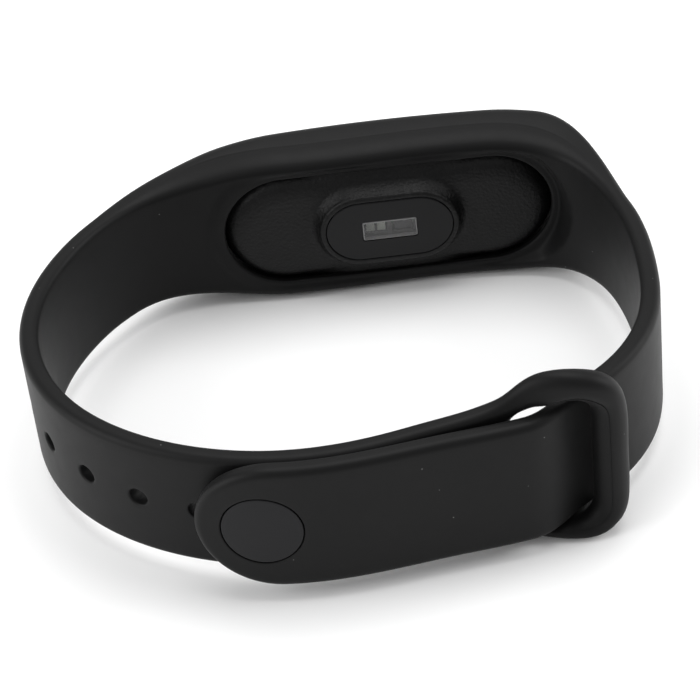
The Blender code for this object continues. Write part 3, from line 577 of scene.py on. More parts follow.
def pierced(rim_in, rim_out, hole, lip, steps):
    """A wall with one hole: inner face, rounded lip, bore, rounded lip, outer face.

    hole(rim, offset) gives the bore's outline grown by an offset, one point per rim point.
    """
    turn = np.linspace(math.pi / 2, 0, 6)
    near = face_rows(rim_in, hole(rim_in, lip), steps)[:-1]
    far = face_rows(rim_out, hole(rim_out, lip), steps)[:-1][::-1]
    rows = [near]
    depths = [np.zeros(near.shape[:2])]
    for angle in turn:
        outline = hole(rim_in, lip * (1 - math.cos(angle)))
        rows.append(outline[None])
        depths.append(np.full((1, len(outline)), lip * (1 - math.sin(angle))))
    for angle in turn[::-1]:
        outline = hole(rim_out, lip * (1 - math.cos(angle)))
        rows.append(outline[None])
        depths.append((strap_depth(outline[:, 0]) - lip * (1 - math.sin(angle)))[None])
    rows.append(far)
    depths.append(strap_depth(far[..., 0]))
    plan = wrapped(np.vstack(rows))
    depth = wrapped(np.vstack(depths))
    return place(plan[..., 0], plan[..., 1], depth, strap_inner, strap_outer)


def pierced_length(start, end, hole, lip=0.25 * MM):
    """A length of the hole arm with one hole through it."""
    steps = max(6, round(abs(end - start) / STEP))
    rim_in = pierced_rim(start, end, steps, lambda a: edge_radii(a)[0][0])
    rim_out = pierced_rim(start, end, steps, lambda a: edge_radii(a)[1][0])
    patches = [pierced(rim_in, rim_out, hole, lip, 8)]
    return patches + tube(np.linspace(start, end, steps + 1))[2:]


# The strap


def stations(start, end, step=STEP):
    """Distances along the loop from start to end, about a step apart."""
    return np.linspace(start, end, max(2, round(abs(end - start) / step) + 1))


def stud_drift():
    """How far the stud's head moves along the arm while the lifting tail draws it out."""
    hinge = LOOP.at(FLEX_LINE, LAYER + THICKNESS)
    facing = LOOP.facing(STUD_AT)
    forward = np.array([facing[1], -facing[0]])
    reach = LOOP.at(STUD_AT) - hinge
    drawn = HEAD_THICKNESS + CLEAR + THICKNESS
    return -drawn * (reach @ facing) / (reach @ forward)


def hole_arm_patches():
    """The arm with its row of holes. The stud's own hole is stretched along the arm."""
    numbers = range(-COVERED_HOLES, FREE_HOLES + 1)
    start = KEEPER_JOINT
    patches = []
    for number in numbers:
        middle = STUD_AT + number * HOLE_PITCH
        end = middle + HOLE_PITCH / 2
        centre = np.array([middle - LOOP.length, 0.0])
        radius, before, after = HOLE_DIAMETER / 2, 0.0, 0.0
        if number == 0:
            radius = HEAD_DIAMETER / 2 + CLEAR
            before, after = max(0.0, -stud_drift()), max(0.0, stud_drift())
        core = (np.array([-before, 0.0]), np.array([after, 0.0]))

        def hole(rim, offset, centre=centre, core=core, radius=radius):
            return rounded_hole(rim, centre, core, radius + offset)

        patches += pierced_length(start - LOOP.length, end - LOOP.length, hole)
        start = end
    patches += tube(stations(start - LOOP.length, -CRADLE_END))
    return patches


def free_end_rim(outline, normal, radius):
    """Points down the cut across the strap, then round its free end, all drawn in by a radius."""
    drawn = outline - radius[:, None] * normal
    share = np.linspace(0, 1, ACROSS + 1)[:-1, None]
    cut = drawn[-1] + (drawn[0] - drawn[-1]) * share
    return np.vstack([cut, drawn[:-1]])


def keeper_patches():
    """The arm's end, spread into a ring whose far bar stands clear of the strap under it."""
    curve = keeper_outline()
    inside = curve[:, 0] <= KEEPER_JOINT - LOOP.length + 1e-9
    curve = curve[inside][::-1]
    steps = np.linalg.norm(np.diff(curve, axis=0), axis=1)
    reach = np.concatenate([[0], np.cumsum(steps)])
    spread = np.linspace(0, reach[-1], 120)
    outline = np.column_stack([np.interp(spread, reach, curve[:, i]) for i in (0, 1)])
    joint = KEEPER_JOINT - LOOP.length
    upper, lower = edges(np.array([joint]))
    outline[0] = (joint, -lower[0])
    outline[-1] = (joint, upper[0])
    heading = np.gradient(outline, axis=0)
    heading /= np.linalg.norm(heading, axis=1)[:, None]
    normal = np.column_stack([-heading[:, 1], heading[:, 0]])
    from_cut = np.minimum(spread, spread[::-1])
    upright = np.column_stack([0 * spread, np.where(spread < reach[-1] / 2, -1.0, 1.0)])
    leaning = ease(from_cut, 0, 3 * MM)[:, None]
    normal = upright + (normal - upright) * leaning
    normal /= np.linalg.norm(normal, axis=1)[:, None]
    thick = keeper_depth(outline[:, 0])
    arm_in, arm_out = edge_radii(outline[:, 0])
    roundness = ease(from_cut, 0, 4 * MM)
    rail = np.where(outline[:, 1] > 0, UPPER_RAIL_ROUND, LOWER_RAIL_ROUND)
    bar = LOOP.length - KEEPER_AT
    at_bar = ease(-outline[:, 0], bar - 2.5 * MM, bar + 1 * MM)
    rail = rail + (BAR_ROUND - rail) * at_bar
    across_in = arm_in[0] + (rail - arm_in[0]) * roundness
    across_out = arm_out[0] + (rail - arm_out[0]) * roundness
    deep_in = arm_in[1] + (thick * HALF_ROUND - arm_in[1]) * roundness
    deep_out = arm_out[1] + (thick * HALF_ROUND - arm_out[1]) * roundness
    rim_in = free_end_rim(outline, normal, across_in)
    rim_out = free_end_rim(outline, normal, across_out)
    first = KEEPER_AT + KEEPER_BAR / 2 - LOOP.length
    centre = np.array([first + KEEPER_SLOT / 2, 0.0])
    low = np.array([SLOT_CORNER - KEEPER_SLOT / 2, SLOT_CORNER - SLOT_BOTTOM])
    high = np.array([KEEPER_SLOT / 2 - SLOT_CORNER, SLOT_TOP - SLOT_CORNER])

    def hole(rim, offset):
        """A rounded rectangle whose top falls by a smooth shoulder towards the arm."""
        slot = rounded_hole(rim, centre, (low, high), SLOT_CORNER + offset)
        from_arm = first + KEEPER_SLOT - slot[:, 0]
        share = np.clip(slot[:, 1] / SLOT_TOP, 0, 1) ** 3
        drop = SLOT_SHOULDER * share * (1 - ease(from_arm, 2.6 * MM, 6.3 * MM))
        return slot - np.column_stack([0 * drop, drop])

    near, far = (across_in, deep_in), (across_out, deep_out)
    strip = edge_strip(outline, normal, keeper_depth, near, far)
    return [saddled(*slot_wall(rim_in, rim_out, hole)), saddled(*strip)]


def saddled(along, height, depth):
    """World points of the keeper, its lower rail drawn in under the edge of the strap."""
    points = place(along, height, depth, keeper_inner, keeper_outer)
    share = 1 - depth / keeper_depth(along)
    drawn = SADDLE * keeper_level(along) * ease(-height, 7.8 * MM, 8.7 * MM) * share
    points[..., :2] -= drawn[..., None] * LOOP.facing(along)
    return points


def slot_wall(rim_in, rim_out, hole):
    """The keeper's faces and its slot's wall, rounded right through, as along, height, depth."""
    room = np.linalg.norm(rim_in - hole(rim_in, 0.0), axis=1)
    lip = np.minimum(room * 0.9, SLOT_LIP)
    turn = np.linspace(math.pi / 2, 0, 9)
    rows, depths = [rim_in[None]], [np.zeros((1, len(rim_in)))]
    grown = hole(rim_in, lip)
    for share in (0.35, 0.7):
        rows.append((rim_in + (grown - rim_in) * share)[None])
        depths.append(np.zeros((1, len(rim_in))))
    for angle in turn:
        outline = hole(rim_in, lip * (1 - math.cos(angle)))
        half = keeper_depth(outline[:, 0]) * HALF_ROUND
        rows.append(outline[None])
        depths.append((half * (1 - math.sin(angle)))[None])
    crease = np.radians([54, 58, 62])  # its two banks and, between them, its bed
    for angle in np.sort(np.concatenate([turn, crease])):
        outline = hole(rim_out, lip * (1 - math.cos(angle)))
        thick = keeper_depth(outline[:, 0])
        cut = KEEPER_CREASE * keeper_level(outline[:, 0]) * (angle == crease[1])
        rows.append(outline[None])
        depths.append((thick - thick * HALF_ROUND * (1 - math.sin(angle)) - cut)[None])
    grown = hole(rim_out, lip)
    for share in (0.7, 0.35):
        between = rim_out + (grown - rim_out) * share
        rows.append(between[None])
        depths.append(keeper_depth(between[:, 0])[None])
    rows.append(rim_out[None])
    depths.append(keeper_depth(rim_out[:, 0])[None])
    plan = wrapped(np.vstack(rows))
    return plan[..., 0], plan[..., 1], wrapped(np.vstack(depths))


def tracker_outline(toward, offset):
    """Points of the tracker's outline, grown by an offset, in the directions of other points."""
    core = (np.array([-SPINE, 0.0]), np.array([SPINE, 0.0]))
    return rounded_hole(toward, np.zeros(2), core, TRACKER_WIDTH / 2 + offset)


def outline_on(face, toward, offset):
    """The tracker's outline, grown by an offset, as distances along a face and heights."""
    table = stations(-CRADLE_END - 2 * MM, CRADLE_END + 2 * MM, 0.2 * MM)
    outline = tracker_outline(toward, offset)
    along = np.interp(outline[:, 0], face(table)[:, 0], table)
    return np.column_stack([along, outline[:, 1]])


def dip_rows(rim, toward):
    """The inner face from its rim to the opening, with the soft dip round the opening."""
    edge = outline_on(strap_inner, toward, SEAT_ROUND - LIP_OVERLAP)
    room = np.linalg.norm(rim - edge, axis=1)
    dip_end = np.minimum(RECESS_REACH, 0.85 * room)
    rows = []
    for share in np.linspace(1, 0, 8)[:-1]:
        distance = dip_end + (room - dip_end) * share
        flat = edge + (rim - edge) * (distance / room)[:, None]
        rows.append(dipped(flat, np.ones(len(flat))))
    for share in np.linspace(1, 0, 14):
        distance = dip_end * share
        flat = edge + (rim - edge) * (distance / room)[:, None]
        rows.append(dipped(flat, np.full(len(flat), share)))
    return rows


def seat_rows(toward):
    """The rounded lip that holds the tracker's back, and the seat and wall behind it."""
    rows = []
    for angle in np.linspace(math.pi / 2, 0, 6)[1:]:
        outline = tracker_outline(toward, SEAT_ROUND * (1 - math.cos(angle)) - LIP_OVERLAP)
        rows.append(level_row(outline, RECESS_DEPTH + SEAT_ROUND * (1 - math.sin(angle))))
    seat = RECESS_DEPTH + CRADLE_LIP
    for offset, level in (
        (-LIP_OVERLAP, seat - 0.2 * MM),
        (0.15 * MM - LIP_OVERLAP, seat),
        (CLEAR, seat),
        (CLEAR, seat + 0.5 * MM),
        (CLEAR, PARTING),
    ):
        rows.append(level_row(tracker_outline(toward, offset), level))
    return rows


def brim_rows(rim, toward):
    """The front opening's rounded brim, and the outer face from there to its rim."""
    rows = []
    for angle in np.linspace(0, math.pi / 2, 6):
        offset = CLEAR + BRIM_ROUND * (1 - math.cos(angle))
        face = strap_outer(outline_on(strap_outer, toward, offset)[:, 0])[:, 1]
        level = face - BRIM_ROUND * (1 - math.sin(angle))
        rows.append(level_row(tracker_outline(toward, offset), level))
    edge = outline_on(strap_outer, toward, CLEAR + BRIM_ROUND)
    for share in np.linspace(0, 1, 12)[1:]:
        flat = edge + (rim - edge) * share
        rows.append(np.column_stack([strap_outer(flat[:, 0]), flat[:, 1]]) + ORIGIN)
    return rows


def cradle_patches():
    """The thick middle of the strap: one ring of faces through its opening, and its edges."""
    steps = round(2 * CRADLE_END / STEP)
    rim_in = pierced_rim(-CRADLE_END, CRADLE_END, steps, lambda a: edge_radii(a)[0][0])
    rim_out = pierced_rim(-CRADLE_END, CRADLE_END, steps, lambda a: edge_radii(a)[1][0])
    toward_in, toward_out = (
        np.column_stack([face(rim[:, 0])[:, 0], rim[:, 1]])
        for rim, face in ((rim_in, strap_inner), (rim_out, strap_outer))
    )
    rows = dip_rows(rim_in, toward_in) + seat_rows(toward_in) + brim_rows(rim_out, toward_out)
    length = np.linspace(-CRADLE_END, CRADLE_END, steps + 1)
    return [wrapped(np.stack(rows))] + tube(length, ridge=CRADLE_RIDGE)[2:]


def level_row(outline, level):
    """World points of an outline at a height above the strap's inner face."""
    level = np.broadcast_to(level, len(outline))
    return np.column_stack([outline[:, 0], level, outline[:, 1]]) + ORIGIN


def dipped(flat, share):
    """World points on the inner face, sunk to the dip's floor where share falls below one."""
    plan = strap_inner(flat[:, 0])
    sunk = 1 - ease(share, 0.3, 1.0)
    level = plan[:, 1] + (RECESS_DEPTH - plan[:, 1]) * sunk
    return np.column_stack([plan[:, 0], level, flat[:, 1]]) + ORIGIN


def build_strap(finish):
    """The cradle, both arms and the keeper as one moulding, cut flat where the tail starts."""
    patches = keeper_patches() + hole_arm_patches() + cradle_patches()
    stud_arm = tube(stations(CRADLE_END, KEEPER_AT))
    cap = end_outline(stud_arm, -1)
    strap = surface("strap", patches + stud_arm, finish, "strap", caps=[cap])
    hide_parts("strap_cradle", "hole_arm", "keeper_ring", "stud_arm")
    return strap


def tail_patches():
    """The tail's round end, with the cap's pocket in its outer face and the post's bore."""
    half = TAIL_WIDTH / 2
    straight = stations(TAIL_ROUND, TIP - half)
    turn = np.linspace(-math.pi / 2, math.pi / 2, 60)[1:-1]
    lower = np.column_stack([straight, np.full(len(straight), -half)])
    arc = np.column_stack([TIP - half + half * np.cos(turn), half * np.sin(turn)])
    outline = np.vstack([lower, arc, (lower * (1, -1))[::-1]])
    heading = np.gradient(outline, axis=0)
    heading /= np.linalg.norm(heading, axis=1)[:, None]
    normal = np.column_stack([heading[:, 1], -heading[:, 0]])
    normal[0], normal[-1] = (0, -1), (0, 1)
    near, far = edge_radii(outline[:, 0])
    rim_in = free_end_rim(outline, normal, near[0])
    rim_out = free_end_rim(outline, normal, far[0])
    strip = edge_strip(outline, normal, strap_depth, near, far)
    bore = POST_DIAMETER / 2 + CLEAR
    pocket = CAP_DIAMETER / 2 + 0.12 * MM
    floor = THICKNESS - CAP_THICKNESS - CLEAR
    lip = 0.12 * MM  # rounding of the pocket's rim
    rows = [face_rows(rim_in, round_hole(rim_in, bore), 10)]
    depths = [np.zeros(rows[0].shape[:2])]
    profile = [(bore, floor), (pocket, floor)]
    turns = np.linspace(0, math.pi / 2, 5)
    profile += [
        (pocket + lip * (1 - math.cos(angle)), THICKNESS - lip * (1 - math.sin(angle)))
        for angle in turns
    ]
    for radius, level in profile:
        outline_row = round_hole(rim_out, radius)
        rows.append(outline_row[None])
        depths.append(np.full((1, len(outline_row)), level))
    far_rows = face_rows(rim_out, round_hole(rim_out, pocket + lip), 10)
    rows.append(far_rows[:-1][::-1])
    depths.append(np.full(rows[-1].shape[:2], THICKNESS))
    plan = wrapped(np.vstack(rows))
    depth = wrapped(np.vstack(depths))
    wall = place(plan[..., 0], plan[..., 1], depth, strap_inner, strap_outer)
    return [wall, place(*strip, strap_inner, strap_outer)]


def build_tail(finish):
    """The rest of the moulding: the tail from the keeper to its round end."""
    run = tube(stations(KEEPER_AT, TAIL_ROUND))
    patches = run + tail_patches()
    tail = surface("tail", patches, finish, caps=[end_outline(run, 0)])
    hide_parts("stud_tail")
    start, end = (
        (*(LOOP.at(FLEX_LINE + side * 3 * MM, LAYER) + ORIGIN[:2]), ORIGIN[2]) for side in (-1, 1)
    )
    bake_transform(tail)
    return tail


def stud_stretch():
    """How much longer the tail's outer face is at the stud than the inner face."""
    span = strap_outer(np.array([STUD_AT - 4 * MM, STUD_AT + 4 * MM]))
    return np.linalg.norm(span[1] - span[0]) / (8 * MM)


def round_hole(rim, radius):
    """The point nearest to each rim point on a circle round the stud, true on the outer face."""
    scale = np.array([stud_stretch(), 1.0])
    centre = np.array([STUD_AT, 0.0])
    core = (np.zeros(2), np.zeros(2))
    return rounded_hole((rim - centre) * scale, np.zeros(2), core, radius) / scale + centre


def around_stud(radius, depth, turns=96):
    """World points of rings round the stud, at depths above the tail's inner face."""
    radius, depth = np.asarray(radius)[:, None], np.asarray(depth)[:, None]
    angle = np.linspace(0, 2 * math.pi, turns + 1)[None]
    along = STUD_AT + radius * np.cos(angle) / stud_stretch()
    height = radius * np.sin(angle)
    return place(along, height, depth + 0 * angle, strap_inner, strap_outer)


def build_stud(cap_finish, steel, dome):
    """The cap, flush in the tail with a slight dome, and the post with its mushroom head."""
    radius = CAP_DIAMETER / 2
    turn = np.linspace(0, math.pi / 2, 6)
    edge = 0.14 * MM  # rounding of its rim
    inward = np.linspace(radius - edge, 0, 12)[1:]
    reach = [0.0, radius - edge]
    depth = [THICKNESS - CAP_THICKNESS] * 2
    reach += list(radius - edge * (1 - np.sin(turn[1:])))
    depth += list(THICKNESS - CAP_THICKNESS + edge * (1 - np.cos(turn[1:])))
    reach += list(radius - edge * (1 - np.cos(turn)))
    depth += list(THICKNESS - edge * (1 - np.sin(turn)))
    reach += list(inward)
    depth += list(THICKNESS + dome * (1 - (inward / radius) ** 2))
    cap = surface("cap", [around_stud(reach, depth)], cap_finish, "tail")
    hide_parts("stud_cap")

    post, head = POST_DIAMETER / 2, HEAD_DIAMETER / 2
    shoulder = -LAYER - CLEAR
    crown = shoulder - HEAD_THICKNESS
    swell = np.linspace(0, math.pi / 2, 12)
    reach = list(head * np.sin(swell))
    depth = list(shoulder - 0.25 * MM - (shoulder - 0.25 * MM - crown) * np.cos(swell))
    reach += [head, head - 0.08 * MM, head - 0.2 * MM, post + 0.15 * MM, post, post, 0.0]
    depth += [shoulder - 0.12 * MM, shoulder - 0.03 * MM, shoulder, shoulder]
    top = THICKNESS - CAP_THICKNESS - CLEAR
    depth += [shoulder + 0.15 * MM, top, top]
    pin = surface("post", [around_stud(reach, depth, 48)], steel, "tail")
    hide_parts("stud_post")


# The tracker


def stadium(spine, radius, level, arch=0.0):
    """World points of a round-ended outline. Arch lifts its middle, with a parabola along it."""
    turn = np.linspace(-math.pi / 2, math.pi / 2, 41)
    side = np.linspace(spine, -spine, 49)[1:-1]
    right = np.column_stack([spine + radius * np.cos(turn), radius * np.sin(turn)])
    top = np.column_stack([side, np.full(len(side), radius)])
    outline = np.vstack([right, top, -right, -top, right[:1]])
    height = level + arch * (1 - (outline[:, 0] / TRACKER_HALF) ** 2)
    return np.column_stack([outline[:, 0], height, outline[:, 1]]) + ORIGIN


def corner(start, end, upright, steps=6):
    """A quarter ellipse from start to end, both (radius, level).

    It leaves its start straight up in level if upright, and straight across in radius if not.
    """
    turn = np.linspace(0, math.pi / 2, steps)
    first, second = np.sin(turn), 1 - np.cos(turn)
    across, rise = (second, first) if upright else (first, second)
    radius = start[0] + (end[0] - start[0]) * across
    level = start[1] + (end[1] - start[1]) * rise
    return list(zip(radius, level))


def past_stadium(points, spine, radius):
    """How far points in plan lie outside a round-ended outline."""
    inside = points - np.clip(points, (-spine, 0), (spine, 0))
    return np.linalg.norm(inside, axis=-1) - radius


def back_rows():
    """The tracker's back, from the platform's rim to its own edge.

    Its height is a smooth minimum of the platform's flared side and the soft-edged back.
    """
    top = SHELL_BACK - PLATFORM_RISE + PLATFORM_RIM
    short, half = (PLATFORM[0] - PLATFORM[1]) / 2, PLATFORM[1] / 2
    outer = TRACKER_WIDTH / 2
    start = stadium(short, half, 0.0) - ORIGIN
    end = stadium(SPINE, outer - BACK_EDGE[4][0] * MM, 0.0) - ORIGIN
    share = (np.linspace(0, 1, 44) ** 1.15)[1:, None, None]
    plan = (start + (end - start) * share)[..., [0, 2]]
    away = past_stadium(plan, short, half)
    rise = away / PLATFORM_FLARE
    flare = top + (SHELL_BACK - top) * (1.75 * rise - 0.75 * rise**2)
    flare = np.where(rise > 1, SHELL_BACK + (away - PLATFORM_FLARE) * 0.35, flare)
    edge = spline(np.array(BACK_EDGE) * MM, 8, closed=False)[::-1]
    inset = -past_stadium(plan, SPINE, outer)
    back = SHELL_BACK + np.interp(inset, edge[:, 0], edge[:, 1])
    blend = 0.1 * MM
    level = -blend * np.logaddexp(-flare / blend, -back / blend)
    level[-1] = back[-1]
    return np.stack([plan[..., 0], level, plan[..., 1]], axis=-1) + ORIGIN


def build_rear_shell(finish):
    """The soft-edged back with its raised sensor platform, the lens's pocket and the cavity."""
    top = SHELL_BACK - PLATFORM_RISE
    short = (PLATFORM[0] - PLATFORM[1]) / 2
    half = PLATFORM[1] / 2
    pocket = LENS[1] / 2 + 0.07 * MM
    floor = top + LENS_THICKNESS + 0.3 * MM
    inside = SHELL_BACK + FLOOR_THICKNESS
    well = (short - 0.3 * MM, 2.3 * MM)  # spine and radius of the hole behind the sensor
    rim = 0.12 * MM  # rounding of the pocket's rim
    profile = [(*well, inside), (*well, floor), (short, pocket, floor)]
    profile += [(short, pocket, top + rim)]
    rounding = corner((pocket, top + rim), (pocket + rim, top), upright=True)
    rounding += corner((half - PLATFORM_RIM, top), (half, top + PLATFORM_RIM), upright=False)
    profile += [(short, *point) for point in rounding]
    rows = [np.stack([stadium(*row) for row in profile]), back_rows()]
    outer = TRACKER_WIDTH / 2
    wall = outer - SHELL_WALL
    edge = spline(np.array(BACK_EDGE) * MM, 6, closed=False)
    edge = edge[edge[:, 0] < BACK_EDGE[4][0] * MM - 1e-7]
    profile = [(SPINE, outer - inset, SHELL_BACK + height) for inset, height in edge]
    profile += [(SPINE, outer, PARTING - 0.15 * MM), (SPINE, outer - 0.15 * MM, PARTING)]
    profile += [(SPINE, wall, PARTING), (SPINE, wall, inside + 1 * MM)]
    profile += [(SPINE, wall - 1 * MM, inside), (*well, inside)]
    rows.append(np.stack([stadium(*row) for row in profile]))
    shell = surface("rear_case", [np.concatenate(rows)], finish, "tracker")
    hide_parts("rear_shell")


def build_front(case_finish, gloss):
    """The front case and the arched window."""
    outer = TRACKER_WIDTH / 2
    back = PARTING + 1.0 * MM
    edge = FRONT_RIM - 0.6 * MM
    shoulder = edge - 0.6 * MM
    bore = outer - FRONT_WALL
    points = [(outer - SHELL_WALL, back), (outer - 0.1 * MM, back)]
    points += [(outer, back + 0.1 * MM), (outer, shoulder)]
    points += corner((outer, shoulder), (outer - 0.45 * MM, FRONT_RIM), upright=True, steps=10)
    points += [(bore + 0.05 * MM, FRONT_RIM), (bore, FRONT_RIM - 0.06 * MM), (bore, shoulder)]
    points += [(outer - SHELL_WALL, edge - 0.9 * MM), points[0]]
    rings = [stadium(SPINE, *point) for point in points]
    shell = surface("front_case", [np.stack(rings)], case_finish, "tracker")
    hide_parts("front_shell")

    inset = FRONT_WALL + 0.1 * MM
    back = FRONT_RIM - CLEAR
    edge = spline(np.array(WINDOW_EDGE) * MM, 5, closed=False)
    rings = [stadium(SPINE, 0.0, back), stadium(SPINE, outer - inset, back)]
    bows = np.clip((edge[:, 1] / MM - 0.4) / 0.7, 0, 1)
    for (reach, level), bow in zip(edge, bows):
        rings.append(stadium(SPINE, outer - inset - reach, back + level, WINDOW_ARCH * bow))
    face = back + WINDOW_THICKNESS
    reach = outer - inset - WINDOW_EDGE[-1][0] * MM
    for share in np.linspace(1, 0, 10)[1:]:
        rings.append(stadium(SPINE, reach * share, face, WINDOW_ARCH))
    window = surface("window", [np.stack(rings)], gloss, "tracker")
    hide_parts("front_window")


def build_touch_mark(print_finish, outer, width):
    """A thin raised ring on the window, following its arch, that marks the touch pad."""
    face = FRONT_RIM - CLEAR + WINDOW_THICKNESS
    middle = -TRACKER_HALF + TOUCH_MARK_INSET
    angle = np.linspace(0, 2 * math.pi, 97)
    rings = []
    for radius, lift in ((0, 0), (0, 1), (1, 1), (1, 0), (0, 0)):
        reach = outer - width * (1 - radius)
        x = middle + reach * np.cos(angle)
        level = face + WINDOW_ARCH * (1 - (x / TRACKER_HALF) ** 2) + (lift * 0.05 - 0.02) * MM
        rings.append(np.column_stack([x, level, reach * np.sin(angle)]) + ORIGIN)
    surface("touch_mark", [np.stack(rings)], print_finish, "tracker")


def rounded_box(low, high, radius, steps=5):
    """A closed loft through a box along Y, its four long edges and both its rims rounded."""
    centre, half = (low + high) / 2, (high - low) / 2
    turn = np.linspace(0, math.pi / 2, steps)
    quarter = (turn + np.arange(4)[:, None] * math.pi / 2).reshape(-1)
    middle = (np.repeat(np.arange(4), steps) + 0.5) * math.pi / 2
    sides = np.sign(np.column_stack([np.cos(middle), np.sin(middle)]))
    bend = np.column_stack([np.cos(quarter), np.sin(quarter)])

    def ring(inset, level):
        """The box's outline with round corners, drawn in by an inset."""
        flat = sides * (half[[0, 2]] - radius) + bend * (radius - inset)
        points = np.column_stack([flat[:, 0], np.full(len(flat), level), flat[:, 1]])
        return points + (centre[0], 0, centre[2])

    rim = min(radius, half[1]) * 0.8
    ends = [
        np.broadcast_to((centre[0], level, centre[2]), (len(quarter), 3))
        for level in (low[1], high[1])
    ]
    rows = [ends[0]]
    rows += [ring(rim * (1 - math.sin(a)), low[1] + rim * (1 - math.cos(a))) for a in turn]
    rows += [ring(rim * (1 - math.sin(a)), high[1] - rim * (1 - math.cos(a))) for a in turn[::-1]]
    return wrapped(np.stack(rows + [ends[1]]))


def build_sensor(gloss, clear, grey, die):
    """The lens with the sensor's window in it, and behind the window the light barrier."""
    lens_back = SHELL_BACK - PLATFORM_RISE + 0.05 * MM
    spine, half = (LENS[0] - LENS[1]) / 2, LENS[1] / 2
    outline = stadium(spine, half, 0.0)[:-1] - ORIGIN
    toward = outline[:, [0, 2]]
    window = np.array(SENSOR_WINDOW) / 2
    core = (-window + 0.3 * MM, window - 0.3 * MM)

    def hole(grow):
        return rounded_hole(toward, np.zeros(2), core, 0.3 * MM + grow)

    def row(points, level):
        return np.column_stack([points[:, 0], np.broadcast_to(level, len(points)), points[:, 1]])

    def domed(points):
        """The lens's face: a parabola of the distance from the middle line of its outline."""
        inside = points - np.clip(points, (-spine, 0), (spine, 0))
        return lens_back - LENS_DOME * (1 - (np.linalg.norm(inside, axis=1) / half) ** 2)

    front = lens_back + LENS_THICKNESS
    gap = 0.03 * MM
    rows = [row(hole(gap), front), row(hole(gap), domed(hole(gap)) + 0.05 * MM)]
    for share in np.linspace(0, 1, 14):
        flat = hole(gap) + (toward * (half - 0.1 * MM) / half - hole(gap)) * share
        rows.append(row(flat, domed(flat)))
    for angle in np.linspace(0, math.pi / 2, 5)[1:]:
        shrink = 1 - 0.1 * MM * (1 - math.sin(angle)) / half
        rows.append(row(toward * shrink, lens_back + 0.08 * MM * (1 - math.cos(angle))))
    rows += [row(toward, front), rows[0]]
    lens = surface("lens", [wrapped(np.stack(rows)) + ORIGIN], gloss, "tracker")
    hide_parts("sensor_lens")

    low, high = (np.array(corner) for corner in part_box("sensor_window"))
    low[1] -= LENS_DOME
    pane = surface("sensor_pane", [rounded_box(low, high, 0.3 * MM)], clear, "tracker")
    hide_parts("sensor_window")

    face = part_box("light_barrier")[0].y - 0.02 * MM
    for node, finish in (("green_led_left", grey), ("green_led_right", grey), ("photodiode", die)):
        low, high = (np.array(corner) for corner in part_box(node))
        low[1] = face
        body = surface(f"{node}_body", [rounded_box(low, high, 0.12 * MM)], finish, "tracker")
        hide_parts(node)


# Finishes


class Nodes:
    """A material's nodes, wired from calls that read like the look they make."""

    def __init__(self, name):
        self.material = bpy.data.materials.new(name)
        self.material.use_nodes = True
        self.tree = self.material.node_tree
        self.shader = self.tree.nodes["Principled BSDF"]
        self.coordinates = self.tree.nodes.new("ShaderNodeTexCoord").outputs["Object"]

    def add(self, kind, **values):
        node = self.tree.nodes.new(kind)
        for key, value in values.items():
            setattr(node, key, value)
        return node

    def link(self, source, target):
        self.tree.links.new(source, target)

    def noise(self, size, detail=2.0):
        """Noise with features of a size in metres."""
        node = self.add("ShaderNodeTexNoise")
        node.inputs["Scale"].default_value = 1 / size
        node.inputs["Detail"].default_value = detail
        self.link(self.coordinates, node.inputs["Vector"])
        return node.outputs["Fac"]

    def spread(self, value, low, high, to_low, to_high):
        """Maps a range of values to another, without going past its ends."""
        node = self.add("ShaderNodeMapRange")
        for key, number in zip(
            ("From Min", "From Max", "To Min", "To Max"), (low, high, to_low, to_high)
        ):
            node.inputs[key].default_value = number
        self.link(value, node.inputs["Value"])
        return node.outputs["Result"]

    def mixed(self, share, first, second):
        """The first colour where share is 0 and the second where it is 1."""
        node = self.add("ShaderNodeMix", data_type="RGBA")
        node.inputs[6].default_value = (*first, 1)
        node.inputs[7].default_value = (*second, 1)
        self.link(share, node.inputs[0])
        return node.outputs[2]

    def bump(self, value, depth):
        """Relief as deep as depth where the value runs from 0 to 1."""
        node = self.add("ShaderNodeBump")
        node.inputs["Strength"].default_value = 1.0
        node.inputs["Distance"].default_value = depth
        self.link(value, node.inputs["Height"])
        self.link(node.outputs["Normal"], self.shader.inputs["Normal"])


def plain(name, colour, roughness, metallic=0.0, specular=0.5):
    """One even colour and gloss."""
    nodes = Nodes(name)
    nodes.shader.inputs["Base Color"].default_value = (*colour, 1)
    nodes.shader.inputs["Roughness"].default_value = roughness
    nodes.shader.inputs["Metallic"].default_value = metallic
    nodes.shader.inputs["Specular IOR Level"].default_value = specular
    return nodes


def textured(name, colour, roughness, grain, depth, metallic=0.0, specular=0.5, uneven=0.08):
    """A finish with a fine grain in relief, and slow changes of colour and of roughness."""
    nodes = plain(name, colour, roughness, metallic, specular)
    cloud = nodes.noise(6 * MM, 3.0)
    darker = tuple(c * (1 - uneven) for c in colour)
    lighter = tuple(c * (1 + uneven) for c in colour)
    share = nodes.spread(cloud, 0.3, 0.7, 0.0, 1.0)
    nodes.link(nodes.mixed(share, darker, lighter), nodes.shader.inputs["Base Color"])
    rough = nodes.spread(nodes.noise(2 * MM), 0.3, 0.7, roughness * 0.97, roughness * 1.03)
    nodes.link(rough, nodes.shader.inputs["Roughness"])
    nodes.bump(nodes.noise(grain, 3.0), depth)
    return nodes


